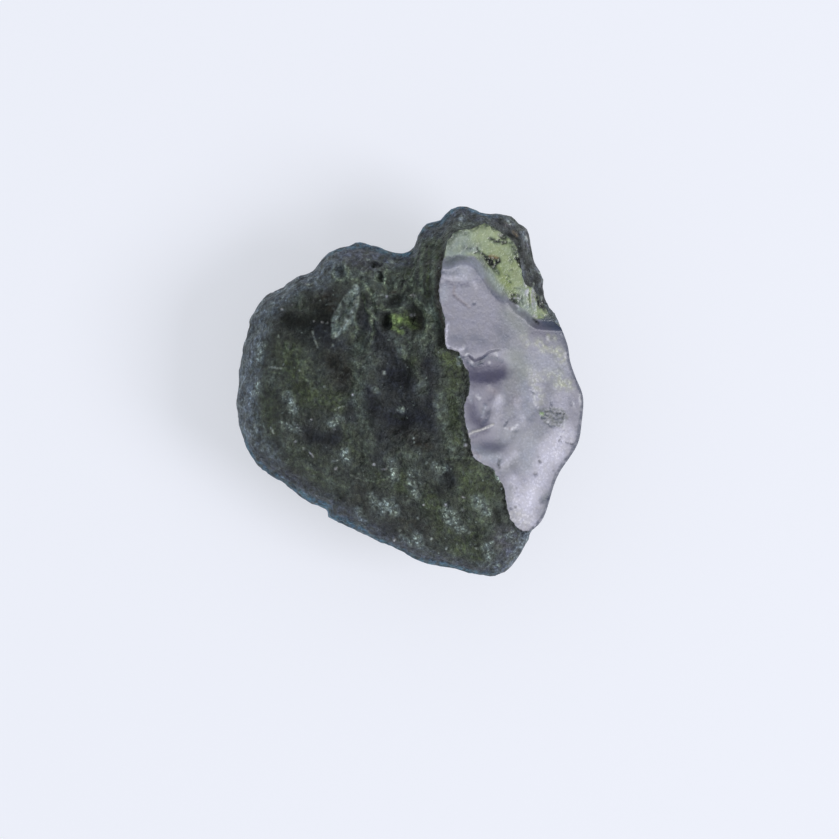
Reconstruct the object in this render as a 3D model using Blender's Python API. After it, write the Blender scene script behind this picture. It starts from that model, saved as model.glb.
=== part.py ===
"""Moldavite: a worn nodule of green natural glass with a fresh fracture down its right side.

The stone is one closed body. Its outline is a closed curve seen from above, the skin is a dome
over that outline with hollows, pits and furrows in it, and the fracture is a tilted plane with
shell-like waves that cuts the dome along a crisp edge. It rests on a small flat foot.
"""

import math
import random

import bmesh
import bpy
import numpy as np
from mathutils import Vector, noise

# Sizes are in millimetres and angles in degrees, with X to the right, Y away and Z up.
# The origin is under the middle of the outline, on the plane of the foot.
MM = 0.001

# Driving sizes of the body.
CROWN_HEIGHT = 9.75
CROWN_TILT = 0.03
DOME_SQUARENESS = 2.5
DOME_FULLNESS = 1.8
BELLY_DEPTH = -0.3
BELLY_RISE = 0.02
BELLY_SQUARENESS = 3.2
BELLY_FULLNESS = 2.0
BELLY_FADE = 0.5
OUTLINE_CENTRE = (0.0, -0.3)

# Driving sizes of the fracture.
FRACTURE_TOP = 10.15
FRACTURE_START_X = 2.0
FRACTURE_TILT = 24.0
SHELF_HEIGHT = 8.95
SHELF_START_X = 3.7
SHELF_SLOPE = 0.22
SHELF_BEVEL = 0.55
EDGE_BLEND = 0.9

# How the girdle's height is eased on both sides of a direction, in radians.
GIRDLE_EASE = 0.12

# How round the bottoms of the hollows, lumps and dents are; a low number gives a sharp rim.
HOLLOW_POWER = 1.6
LUMP_POWER = 1.8
DENT_POWER = 1.4
DISH_POWER = 1.0

# How finely the outline is held, and how many of its directions are averaged for the belly.
DIRECTIONS = 1440
SOFTENING = 161

# How finely the stone is modelled before it is thinned.
CUTS = 72
TRIANGLES = 9000

# Outline seen from above, anticlockwise from the right.
OUTLINE = [
    (10.35, -0.4), (9.9, 0.79), (9.57, 1.74), (9.39, 2.78), (8.78, 4.27), (8.09, 5.51),
    (7.92, 6.84), (7.41, 7.91), (7.14, 9.51), (6.56, 10.01), (6.01, 10.46), (4.59, 10.6),
    (3.05, 11.09), (2.38, 10.71), (1.8, 10.2), (0.99, 9.98), (0.5, 9.41), (0.2, 8.6),
    (-0.6, 8.25), (-2.85, 8.76), (-3.56, 8.59), (-4.52, 8.34), (-5.15, 7.97), (-5.8, 7.15),
    (-6.95, 6.83), (-7.9, 6.24), (-8.91, 5.62), (-9.49, 4.62), (-9.92, 3.5), (-10.16, 2.75),
    (-10.35, -0.2), (-10.24, -2.41), (-9.38, -4.34), (-7.86, -5.45), (-6.31, -6.51),
    (-5.01, -7.13), (-4.76, -7.63), (-3.46, -8.15), (-1.82, -9.14), (0.61, -10.3),
    (2.43, -10.75), (4.33, -11.15), (5.39, -10.97), (6.08, -10.46), (7.07, -8.97),
    (7.25, -8.4), (7.97, -7.57), (8.61, -5.61), (8.85, -5.05), (9.06, -4.68), (10.0, -3.25),
    (10.27, -1.9),
]

# Height of the widest line of the skin, by direction from the middle.
GIRDLE = [
    (0, 6.5), (25, 7.0), (42, 6.6), (57, 6.6), (75, 6.7), (88, 5.6), (108, 5.5),
    (135, 5.0), (180, 4.6), (215, 4.8), (250, 5.3), (285, 6.0), (303, 6.7), (315, 7.6),
    (330, 7.2),
]

# The fresh glass: its left edge from the top down, then round outside the stone, then back
# along the rough rim of the upper horn.
FRACTURE = [
    (2.01, 7.77), (1.83, 6.81), (1.71, 5.91), (1.83, 5.01), (2.07, 4.23), (2.05, 3.33),
    (2.19, 2.49), (2.85, 2.25), (3.15, 1.65), (3.51, 0.87), (3.5, -0.1), (3.24, -0.87),
    (3.27, -1.83), (3.57, -2.97), (3.75, -3.93), (4.29, -4.35), (4.83, -4.62), (5.25, -5.19),
    (5.61, -5.85), (5.79, -7.05), (6.09, -7.83), (6.5, -8.25), (7.0, -8.4), (7.7, -8.2),
    (9.5, -8.0), (12.0, -6.0), (12.5, 0.0), (11.5, 3.2), (9.4, 3.55), (8.75, 3.95), (8.3, 4.5),
    (7.89, 5.25), (7.41, 5.97), (6.81, 6.39), (6.57, 7.47), (6.39, 8.37), (5.97, 9.03),
    (5.25, 9.48), (4.47, 9.87), (3.69, 9.57), (2.85, 9.45), (2.25, 8.85),
]

# The lower shelf of clear glass under the horn, inside the fracture.
SHELF = [
    (1.83, 7.89), (2.79, 8.01), (3.63, 7.98), (4.29, 7.47), (4.83, 6.69), (5.43, 5.85),
    (6.15, 5.19), (7.05, 4.65), (8.13, 4.11), (12.0, 5.0), (11.0, 12.0), (2.0, 13.0), (0.0, 11.0),
]

# The leaf-shaped chip on the left.
CHIP = [
    (-3.12, 6.35), (-3.0, 5.7), (-3.06, 4.8), (-3.3, 4.2), (-3.9, 3.6), (-4.6, 3.25),
    (-4.55, 3.75), (-4.5, 4.3), (-4.1, 4.95), (-3.6, 5.6),
]
CHIP_DEPTH = 0.3
CHIP_SLOPE = 0.45

# Hollows in the skin: x, y, half lengths along and across, turn and depth.
HOLLOWS = [
    (-5.6, 4.3, 2.3, 1.9, 20, 0.85),
    (-3.9, 0.4, 1.5, 1.2, 60, 0.45),
    (-0.9, 1.0, 1.5, 1.3, 0, 0.6),
    (-0.6, -1.8, 1.6, 1.4, 30, 0.55),
    (-3.2, 2.9, 1.0, 0.8, 70, 0.45),
    (-4.3, 7.1, 0.5, 0.42, 0, 0.55),
    (-1.85, 6.8, 0.3, 0.24, 90, 0.35),
    (-2.0, 7.6, 0.42, 0.18, 10, 0.3),
    (-0.95, 5.3, 0.55, 0.5, 0, 0.4),
    (-1.4, 4.1, 0.36, 0.55, 0, 0.6),
    (0.35, 4.35, 0.75, 0.8, 0, 0.55),
    (-0.75, 4.15, 0.42, 0.42, 0, 0.2),
    (-5.5, -2.8, 1.3, 1.0, 0, 0.32),
    (-7.7, 0.9, 1.5, 1.0, 80, 0.3),
    (-2.6, -4.4, 1.5, 1.0, 150, 0.32),
    (1.9, -5.0, 0.95, 0.7, 120, 0.38),
    (0.1, -7.2, 1.3, 0.8, 20, 0.3),
    (3.6, -8.6, 1.0, 0.7, 60, 0.3),
    (5.6, -9.3, 0.7, 0.5, 40, 0.3),
    (2.3, -1.2, 0.8, 1.6, 0, 0.3),
]

# Low swellings of the skin, in the same form.
LUMPS = [
    (-3.9, 7.9, 1.6, 0.8, 0, 0.35),
    (-7.2, -1.4, 1.8, 1.4, 100, 0.3),
    (-2.2, -2.2, 1.3, 0.9, 60, 0.25),
    (2.7, -5.6, 1.6, 1.9, 20, 0.35),
    (-1.6, -7.4, 1.8, 0.9, 155, 0.28),
    (1.6, 2.2, 0.8, 1.2, 0, 0.25),
    (-8.2, 3.2, 1.2, 1.6, 20, 0.25),
    (2.3, 10.2, 0.9, 0.7, 0, 0.35),
]

# Furrows of the neck and the net of ridges round it: path, half width, and depth or height.
FURROWS = [
    ([(1.35, 8.6), (1.42, 7.4), (1.28, 6.2), (1.35, 5.0), (1.62, 3.8), (1.75, 2.7)], 0.22, 0.34),
    ([(0.75, 9.3), (0.78, 7.8), (0.72, 6.4), (0.95, 5.2), (1.2, 4.2)], 0.2, 0.26),
    ([(0.0, 8.4), (0.05, 7.2), (0.2, 6.2), (0.3, 5.4)], 0.22, 0.24),
    ([(-0.55, 8.0), (-0.75, 7.1), (-1.2, 6.3), (-1.5, 5.4)], 0.22, 0.22),
    ([(-2.35, 5.9), (-2.15, 5.0), (-2.05, 4.2), (-2.2, 3.5)], 0.2, 0.14),
    ([(-2.75, 5.6), (-2.65, 4.8), (-2.6, 4.0), (-2.9, 3.3)], 0.2, 0.1),
]
RIDGES = [
    ([(-2.8, 6.2), (-2.45, 5.4), (-2.3, 4.6), (-1.95, 4.0), (-1.75, 3.3)], 0.22, 0.12),
    ([(-0.1, 5.6), (0.7, 5.4), (1.05, 4.6), (1.0, 3.5)], 0.22, 0.16),
    ([(-0.4, 8.0), (-0.3, 7.0), (-0.35, 6.2), (-0.2, 5.5)], 0.22, 0.1),
    ([(-1.55, 6.2), (-1.2, 5.9), (-0.5, 6.0)], 0.2, 0.1),
    ([(-0.35, -0.4), (0.5, -0.5), (1.3, -0.1)], 0.25, 0.14),
    ([(-4.9, 2.2), (-3.9, 1.9), (-2.9, 1.9), (-2.0, 2.2)], 0.3, 0.18),
    ([(-2.3, 1.6), (-2.5, 0.3), (-2.3, -1.0), (-2.0, -2.0)], 0.3, 0.16),
]

# Shell-like dishes of the fracture, with sharp rims, in the form of the hollows.
DISHES = [
    (3.9, 4.6, 2.6, 3.4, 15, 0.07),
    (4.6, 1.35, 1.9, 0.95, 5, 0.11),
    (4.45, -1.0, 1.15, 1.35, 0, 0.09),
    (4.75, -3.0, 1.55, 0.85, 10, 0.1),
    (7.6, 0.6, 2.4, 3.2, 20, 0.08),
    (6.5, -4.2, 1.8, 2.6, 30, 0.07),
    (6.9, -7.0, 1.4, 1.5, 0, 0.06),
]

# Concentric waves on the fracture: middle, first radius, spacing, count, half width, height, and
# the first and last direction of their arc.
WAVES = [
    ((1.4, 4.0), 2.35, 0.72, 2, 0.16, -0.03, 70, 110),
    ((2.6, 1.6), 3.2, 0.9, 4, 0.3, 0.02, -60, -5),
    ((9.6, -3.0), 2.4, 0.8, 3, 0.3, 0.02, 120, 220),
]

# The scalloped lower edge of the fracture's upper lobe, and the height of that step.
LOBE_EDGE = [
    (2.2, 2.45), (2.75, 2.2), (3.1, 1.85), (3.45, 2.0), (3.8, 1.65), (4.3, 1.85), (4.75, 2.2),
    (5.3, 2.3), (6.2, 2.2),
]
LOBE_STEP = 0.12
LOBE_SLOPE = 0.16
LOBE_FADE = 1.5

# How soon the waves start at the ends of their arcs, in degrees.
WAVE_FADE = 15.0

# How soon the uneven skin starts beside the fracture, and below the fracture on the stone's side.
WORN_MARGIN = 0.25
WORN_DROP = 0.06

# Dents of the sides and the underside, placed by a seeded draw: how many, angular sizes in
# degrees, depths, and how far below and above the middle they lie, in degrees.
DENT_SEED = 11
DENTS = 34
DENT_SIZES = (9.0, 21.0)
DENT_DEPTHS = (0.12, 0.42)
DENT_HEIGHTS = (-75.0, 4.0)

# Relief of the skin: size of the forms, their height and the seed offset of each layer.
RELIEF = [(3.2, 0.22, 5.0), (1.25, 0.12, 17.0), (0.55, 0.05, 31.0)]

# Half width, half length and depth of the block that cuts the foot flat.
FOOT_BOX = (9.0, 9.0, 1.0)


def closed_curve(points, steps):
    """A smooth closed curve through the points, as an array of points."""
    ring = np.array(points)
    before, after, further = (np.roll(ring, shift, axis=0) for shift in (1, -1, -2))
    rows = []
    for t in np.arange(steps) / steps:
        rows.append(
            0.5 * (2 * ring + (after - before) * t
                   + (2 * before - 5 * ring + 4 * after - further) * t ** 2
                   + (3 * ring - before - 3 * after + further) * t ** 3)
        )
    return np.stack(rows, axis=1).reshape(-1, 2)


def nearest(at, path, closed):
    """Distance from each place to a path, the nearest point on it, and whether it is inside."""
    start = path if closed else path[:-1]
    step = (np.roll(path, -1, axis=0) if closed else path[1:]) - start
    best = np.full(len(at), np.inf)
    foot = np.zeros((len(at), 2))
    inside = np.zeros(len(at), bool)
    for a, d in zip(start, step):
        t = np.clip(((at - a) @ d) / (d @ d), 0, 1)
        q = a + t[:, None] * d
        gap = np.hypot(*(at - q).T)
        closer = gap < best
        best[closer] = gap[closer]
        foot[closer] = q[closer]
        if d[1] != 0:
            crossed = (a[1] > at[:, 1]) != (a[1] + d[1] > at[:, 1])
            inside ^= crossed & (at[:, 0] < a[0] + d[0] * (at[:, 1] - a[1]) / d[1])
    return best, foot, inside


def depth_inside(at, loop):
    """How far each place is inside a closed curve, negative outside, and its nearest edge."""
    gap, foot, inside = nearest(at, loop, True)
    return np.where(inside, gap, -gap), foot


def smooth(value):
    """A step from 0 to 1 that starts and ends gently."""
    t = np.clip(value, 0, 1)
    return t * t * (3 - 2 * t)


def bowls(at, shapes, power):
    """Summed depth of oval bowls; a low power gives them a sharp rim."""
    total = np.zeros(len(at))
    for x, y, along, across, turn, depth in shapes:
        c, s = math.cos(math.radians(turn)), math.sin(math.radians(turn))
        u = ((at[:, 0] - x) * c + (at[:, 1] - y) * s) / along
        v = ((at[:, 1] - y) * c - (at[:, 0] - x) * s) / across
        total += depth * np.clip(1 - u * u - v * v, 0, None) ** power
    return total


def furrows(at, shapes):
    """Summed depth of furrows that follow paths."""
    total = np.zeros(len(at))
    for path, width, depth in shapes:
        gap = nearest(at, np.array(path), False)[0]
        total += depth * np.exp(-((gap / width) ** 2))
    return total


def softened(ring):
    """A ring of values, each averaged with its neighbours round the ring."""
    weight = np.hanning(SOFTENING)
    padded = np.concatenate([ring[-SOFTENING:], ring, ring[:SOFTENING]])
    return np.convolve(padded, weight / weight.sum(), "same")[SOFTENING:-SOFTENING]


class Outline:
    """The outline as a radius for each direction from its middle."""

    def __init__(self):
        curve = closed_curve(OUTLINE, 8) - OUTLINE_CENTRE
        angle = np.arctan2(curve[:, 1], curve[:, 0])
        order = np.argsort(angle)
        self.angle = np.linspace(-math.pi, math.pi, DIRECTIONS, endpoint=False)
        self.radius = np.interp(
            self.angle, angle[order], np.hypot(*curve.T)[order], period=2 * math.pi
        )
        self.girdle_angle = np.radians([a for a, _ in GIRDLE])
        self.girdle_height = np.array([h for _, h in GIRDLE])

    def reach(self, angle):
        return np.interp(angle, self.angle, self.radius, period=2 * math.pi)

    def soft_reach(self, angle):
        """The outline without its small bays and lips, as the belly has it."""
        return np.interp(angle, self.angle, softened(self.radius), period=2 * math.pi)

    def girdle(self, angle):
        """The girdle's height, eased between its named directions."""
        near = np.interp(angle, self.girdle_angle, self.girdle_height, period=2 * math.pi)
        sides = [
            np.interp(angle + turn, self.girdle_angle, self.girdle_height, period=2 * math.pi)
            for turn in (-GIRDLE_EASE, GIRDLE_EASE)
        ]
        return (2 * near + sides[0] + sides[1]) / 4

    def polar(self, at):
        """Direction and share of the way out to the outline."""
        x, y = (at - OUTLINE_CENTRE).T
        angle = np.arctan2(y, x)
        return angle, np.minimum(np.hypot(x, y) / self.reach(angle), 1)


def lobe_step(at):
    """One above the scalloped line of the upper lobe, nought below it."""
    line = np.array(LOBE_EDGE)
    edge_y = np.interp(at[:, 0], line[:, 0], line[:, 1])
    fade = smooth((line[-1, 0] - at[:, 0]) / LOBE_FADE)
    return smooth((at[:, 1] - edge_y) / LOBE_SLOPE) * fade


def waves(at):
    """Low concentric waves, each on its own arc."""
    total = np.zeros(len(at))
    for (x, y), radius, spacing, count, width, height, first, last in WAVES:
        dx, dy = at[:, 0] - x, at[:, 1] - y
        gap = np.hypot(dx, dy)
        turn = np.degrees(np.arctan2(dy, dx))
        turn = first + (turn - first) % 360
        on_arc = smooth((turn - first) / WAVE_FADE) * smooth((last - turn) / WAVE_FADE)
        for i in range(count):
            total += height * on_arc * np.exp(-(((gap - radius - i * spacing) / width) ** 2))
    return total


def fracture_height(at):
    """Height of the fresh glass: a tilted plane, the shelf below it, dishes and waves."""
    plane = FRACTURE_TOP - math.tan(math.radians(FRACTURE_TILT)) * (at[:, 0] - FRACTURE_START_X)
    shelf = SHELF_HEIGHT - SHELF_SLOPE * (at[:, 0] - SHELF_START_X)
    on_shelf = depth_inside(at, closed_curve(SHELF, 4))[0]
    lobe = plane - bowls(at, DISHES, DISH_POWER) + waves(at) + LOBE_STEP * lobe_step(at)
    return lobe + (shelf - lobe) * smooth((on_shelf + SHELF_BEVEL) / SHELF_BEVEL)


def dome_height(at, outline):
    """Height of the worn skin above the girdle."""
    angle, share = outline.polar(at)
    girdle = outline.girdle(angle)
    crown = CROWN_HEIGHT + CROWN_TILT * at[:, 0]
    crown = crown - bowls(at, HOLLOWS, HOLLOW_POWER) + bowls(at, LUMPS, LUMP_POWER)
    crown = crown - furrows(at, FURROWS) + furrows(at, RIDGES)
    rounding = (1 - share ** DOME_SQUARENESS) ** (1 / DOME_FULLNESS)
    return girdle + (crown - girdle) * rounding


def top_height(at, outline, fresh, edge):
    """The skin, or the fracture inside its edge; the skin meets that edge without a step."""
    skin = dome_height(at, outline)
    rise = fracture_height(edge) - dome_height(edge, outline)
    skin = skin + rise * np.exp(-((fresh / EDGE_BLEND) ** 2))
    chip = depth_inside(at, closed_curve(CHIP, 6))[0]
    skin = skin - CHIP_DEPTH * smooth(chip / CHIP_SLOPE)
    return np.where(fresh > 0, fracture_height(at), skin)


def belly_height(at, share, girdle):
    """Height of the underside."""
    low = BELLY_DEPTH + BELLY_RISE * (at ** 2).sum(axis=1)
    rounding = (1 - share ** BELLY_SQUARENESS) ** (1 / BELLY_FULLNESS)
    return girdle - (girdle - low) * rounding


def sphere_grid(cuts):
    """A cube cut into a grid and blown up to a unit sphere, with even cells."""
    bm = bmesh.new()
    bmesh.ops.create_cube(bm, size=2)
    bmesh.ops.subdivide_edges(bm, edges=bm.edges, cuts=cuts - 1, use_grid_fill=True)
    for vert in bm.verts:
        vert.co = Vector([math.tan(c * math.pi / 4) for c in vert.co]).normalized()
    return bm


def split_along(bm, level):
    """Cuts every face that the zero line of a per-vertex level crosses, along that line."""
    level = list(level)
    for edge in list(bm.edges):
        a, b = edge.verts
        la, lb = level[a.index], level[b.index]
        if la * lb < 0:
            share = la / (la - lb)
            _, vert = bmesh.utils.edge_split(edge, a, share)
            vert.index = len(level)
            level.append(0.0)
    for face in list(bm.faces):
        on_line = [v for v in face.verts if level[v.index] == 0.0]
        if len(on_line) == 2:
            bmesh.utils.face_split(face, *on_line)


def dents():
    """Seeded dents: direction, angular size and depth."""
    draw = random.Random(DENT_SEED)
    found = []
    for _ in range(DENTS):
        turn = math.radians(draw.uniform(0, 360))
        lift = math.radians(draw.uniform(*DENT_HEIGHTS))
        way = np.array([math.cos(lift) * math.cos(turn), math.cos(lift) * math.sin(turn),
                        math.sin(lift)])
        found.append((way, draw.uniform(*DENT_SIZES), draw.uniform(*DENT_DEPTHS)))
    return found


def relief(place):
    """Uneven skin, as layers of smooth noise."""
    total = 0.0
    for size, height, offset in RELIEF:
        total += height * noise.noise(place / size + Vector((offset, -offset, offset)))
    return total


def stone_mesh():
    """The whole stone before thinning, in millimetres."""
    outline = Outline()
    bm = sphere_grid(CUTS)
    ways = np.array([v.co for v in bm.verts])
    share = np.minimum(np.hypot(ways[:, 0], ways[:, 1]), 1)
    angle = np.arctan2(ways[:, 1], ways[:, 0])
    ahead = np.stack([np.cos(angle), np.sin(angle)], axis=1)
    reach, soft = outline.reach(angle), outline.soft_reach(angle)
    below = smooth(-ways[:, 2] / BELLY_FADE)
    at = ahead * (share * (reach + (soft - reach) * below))[:, None] + OUTLINE_CENTRE
    rim = ahead * reach[:, None] + OUTLINE_CENTRE

    loop = closed_curve(FRACTURE, 4)
    fresh, edge = depth_inside(at, loop)
    rim_fresh, rim_edge = depth_inside(rim, loop)
    girdle = top_height(rim, outline, rim_fresh, rim_edge)
    top = top_height(at, outline, fresh, edge)
    belly = belly_height(at, share, girdle + (outline.girdle(angle) - girdle) * below)
    height = np.where(ways[:, 2] > 1e-6, top, np.where(ways[:, 2] < -1e-6, belly, girdle))

    for vert, (x, y), z in zip(bm.verts, at, height):
        vert.co = (x, y, z)
    bm.normal_update()

    beside = smooth(-fresh / WORN_MARGIN)
    under = smooth(-ways[:, 2] / WORN_DROP)
    worn = np.where(ways[:, 2] > -1e-6, beside, np.maximum(beside, under))
    hollow = np.zeros(len(ways))
    for way, size, depth in dents():
        apart = np.degrees(np.arccos(np.clip(ways @ way, -1, 1))) / size
        hollow += depth * np.clip(1 - apart ** 2, 0, None) ** DENT_POWER
    moves = []
    for vert, keep, dent in zip(bm.verts, worn, hollow):
        moves.append(vert.normal * float(keep * (relief(vert.co) - dent)))
    for vert, move in zip(bm.verts, moves):
        vert.co += move

    level = np.where(ways[:, 2] > -1e-6, fresh, -1.0)
    bm.verts.index_update()
    split_along(bm, level)
    return bm


def glass(name, colour, roughness):
    """A plain glass finish."""
    material = bpy.data.materials.new(name)
    material.use_nodes = True
    shader = material.node_tree.nodes["Principled BSDF"]
    shader.inputs["Base Color"].default_value = (*colour, 1)
    shader.inputs["Roughness"].default_value = roughness
    shader.inputs["Metallic"].default_value = 0.0
    return material


def build_stone(collection):
    """The stone as one object, thinned and cut flat where it rests."""
    bm = stone_mesh()
    bmesh.ops.triangulate(bm, faces=bm.faces)
    bmesh.ops.scale(bm, vec=(MM, MM, MM), verts=bm.verts)
    full = len(bm.faces)
    mesh = bpy.data.meshes.new("moldavite")
    bm.to_mesh(mesh)
    bm.free()
    mesh.materials.append(glass("worn_skin", (0.035, 0.045, 0.026), 0.55))
    stone = bpy.data.objects.new("moldavite", mesh)
    collection.objects.link(stone)
    thin = stone.modifiers.new("thin", "DECIMATE")
    thin.ratio = TRIANGLES / full
    return stone


def build_foot_cutter(collection, stone):
    """A block under the plane of the foot that cuts the belly flat."""
    bm = bmesh.new()
    bmesh.ops.create_cube(bm, size=1)
    width, length, depth = FOOT_BOX
    bmesh.ops.scale(bm, vec=(2 * width * MM, 2 * length * MM, depth * MM), verts=bm.verts)
    bmesh.ops.translate(bm, vec=(0, 0, -depth * MM / 2), verts=bm.verts)
    mesh = bpy.data.meshes.new("foot_cutter")
    bm.to_mesh(mesh)
    bm.free()
    cutter = bpy.data.objects.new("foot_cutter", mesh)
    cutter.display_type = "WIRE"
    cutter.hide_render = True
    collection.objects.link(cutter)
    cut = stone.modifiers.new("foot", "BOOLEAN")
    cut.operation = "DIFFERENCE"
    cut.object = cutter


def main():
    for old in list(bpy.data.objects):
        bpy.data.objects.remove(old)
    parts = bpy.data.collections.new("moldavite")
    cutters = bpy.data.collections.new("cutters")
    cutters.hide_render = True
    for collection in (parts, cutters):
        bpy.context.scene.collection.children.link(collection)
    stone = build_stone(parts)
    build_foot_cutter(cutters, stone)


main()
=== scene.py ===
"""Looks of the moldavite: the finely worn stone, its glass and skin, and a pale table to lie on."""

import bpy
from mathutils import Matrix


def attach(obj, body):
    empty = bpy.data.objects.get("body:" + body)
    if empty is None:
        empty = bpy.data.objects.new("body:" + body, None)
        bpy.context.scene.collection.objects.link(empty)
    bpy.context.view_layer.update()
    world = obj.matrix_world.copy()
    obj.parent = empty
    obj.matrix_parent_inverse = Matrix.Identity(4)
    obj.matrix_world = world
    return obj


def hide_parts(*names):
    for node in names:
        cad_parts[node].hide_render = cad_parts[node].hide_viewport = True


bl_info = {
    "name": "Moldavite",
    "version": (1, 0, 0),
    "blender": (4, 5, 0),
    "location": "3D View > Sidebar > Moldavite",
    "description": "Builds a worn nodule of green natural glass with a fresh fracture",
    "category": "Add Mesh",
}

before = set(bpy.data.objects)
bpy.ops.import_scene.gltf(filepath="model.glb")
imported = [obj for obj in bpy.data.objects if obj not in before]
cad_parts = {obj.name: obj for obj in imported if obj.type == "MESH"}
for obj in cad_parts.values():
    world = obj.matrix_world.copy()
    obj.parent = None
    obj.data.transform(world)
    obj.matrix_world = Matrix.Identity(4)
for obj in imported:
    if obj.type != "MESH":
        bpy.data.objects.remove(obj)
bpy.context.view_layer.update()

import math
import random

import bmesh
import bpy
import numpy as np
from bpy.props import (
    FloatProperty,
    FloatVectorProperty,
    IntProperty,
    PointerProperty,
)
from bpy.types import Operator, Panel, PropertyGroup
from mathutils import Vector, noise

NODE = "moldavite"

# Sizes are in millimetres and angles in degrees, with X to the right, Y away and Z up.
# The origin is under the middle of the outline, on the plane of the foot.
MM = 0.001

# Driving sizes of the body.
CROWN_HEIGHT = 9.75
CROWN_TILT = 0.03
DOME_SQUARENESS = 2.5
DOME_FULLNESS = 1.8
BELLY_DEPTH = -0.3
BELLY_RISE = 0.02
BELLY_SQUARENESS = 3.2
BELLY_FULLNESS = 2.0
BELLY_FADE = 0.5
OUTLINE_CENTRE = (0.0, -0.3)

# Driving sizes of the fracture.
FRACTURE_TOP = 10.15
FRACTURE_START_X = 2.0
FRACTURE_TILT = 24.0
SHELF_HEIGHT = 8.95
SHELF_START_X = 3.7
SHELF_SLOPE = 0.22
SHELF_BEVEL = 0.55
EDGE_BLEND = 0.9

# How the girdle's height is eased on both sides of a direction, in radians.
GIRDLE_EASE = 0.12

# How round the bottoms of the hollows, lumps and dents are; a low number gives a sharp rim.
HOLLOW_POWER = 1.6
LUMP_POWER = 1.8
DENT_POWER = 1.4
DISH_POWER = 1.7

# How finely the outline is held, and how many of its directions are averaged for the belly.
DIRECTIONS = 1440
SOFTENING = 161

# Outline seen from above, anticlockwise from the right.
OUTLINE = [
    (10.35, -0.4), (9.9, 0.79), (9.57, 1.74), (9.39, 2.78), (8.78, 4.27), (8.09, 5.51),
    (7.92, 6.84), (7.41, 7.91), (7.14, 9.51), (6.56, 10.01), (6.01, 10.46), (4.59, 10.6),
    (3.05, 11.09), (2.38, 10.71), (1.8, 10.2), (0.99, 9.98), (0.5, 9.41), (0.2, 8.6),
    (-0.6, 8.25), (-2.85, 8.76), (-3.56, 8.59), (-4.52, 8.34), (-5.15, 7.97), (-5.8, 7.15),
    (-6.95, 6.83), (-7.9, 6.24), (-8.91, 5.62), (-9.49, 4.62), (-9.92, 3.5), (-10.16, 2.75),
    (-10.35, -0.2), (-10.24, -2.41), (-9.38, -4.34), (-7.86, -5.45), (-6.31, -6.51),
    (-5.01, -7.13), (-4.76, -7.63), (-3.46, -8.15), (-1.82, -9.14), (0.61, -10.3),
    (2.43, -10.75), (4.33, -11.15), (5.39, -10.97), (6.08, -10.46), (7.07, -8.97),
    (7.25, -8.4), (7.97, -7.57), (8.61, -5.61), (8.85, -5.05), (9.06, -4.68), (10.0, -3.25),
    (10.27, -1.9),
]

# Height of the widest line of the skin, by direction from the middle.
GIRDLE = [
    (0, 6.5), (25, 7.0), (42, 6.6), (57, 6.6), (75, 6.7), (88, 5.6), (108, 5.5),
    (135, 5.0), (180, 4.6), (215, 4.8), (250, 5.3), (285, 6.0), (303, 6.7), (315, 7.6),
    (330, 7.2),
]

# The fresh glass: its left edge from the top down, then round outside the stone, then back
# along the rough rim of the upper horn.
FRACTURE = [
    (2.01, 7.77), (1.83, 6.81), (1.71, 5.91), (1.83, 5.01), (2.07, 4.23), (2.05, 3.33),
    (2.19, 2.49), (2.85, 2.25), (3.15, 1.65), (3.51, 0.87), (3.5, -0.1), (3.24, -0.87),
    (3.27, -1.83), (3.57, -2.97), (3.75, -3.93), (4.29, -4.35), (4.83, -4.62), (5.25, -5.19),
    (5.61, -5.85), (5.79, -7.05), (6.09, -7.83), (6.5, -8.25), (7.0, -8.4), (7.7, -8.2),
    (9.5, -8.0), (12.0, -6.0), (12.5, 0.0), (11.5, 3.2), (9.4, 3.55), (8.75, 3.95), (8.3, 4.5),
    (7.89, 5.25), (7.41, 5.97), (6.81, 6.39), (6.57, 7.47), (6.39, 8.37), (5.97, 9.03),
    (5.25, 9.48), (4.47, 9.87), (3.69, 9.57), (2.85, 9.45), (2.25, 8.85),
]

# The lower shelf of clear glass under the horn, inside the fracture.
SHELF = [
    (1.83, 7.89), (2.79, 8.01), (3.63, 7.98), (4.29, 7.47), (4.83, 6.69), (5.43, 5.85),
    (6.15, 5.19), (7.05, 4.65), (8.13, 4.11), (12.0, 5.0), (11.0, 12.0), (2.0, 13.0), (0.0, 11.0),
]

# The leaf-shaped chip on the left.
CHIP = [
    (-3.12, 6.35), (-3.0, 5.7), (-3.06, 4.8), (-3.3, 4.2), (-3.9, 3.6), (-4.6, 3.25),
    (-4.55, 3.75), (-4.5, 4.3), (-4.1, 4.95), (-3.6, 5.6),
]
CHIP_DEPTH = 0.3
CHIP_SLOPE = 0.45

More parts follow.
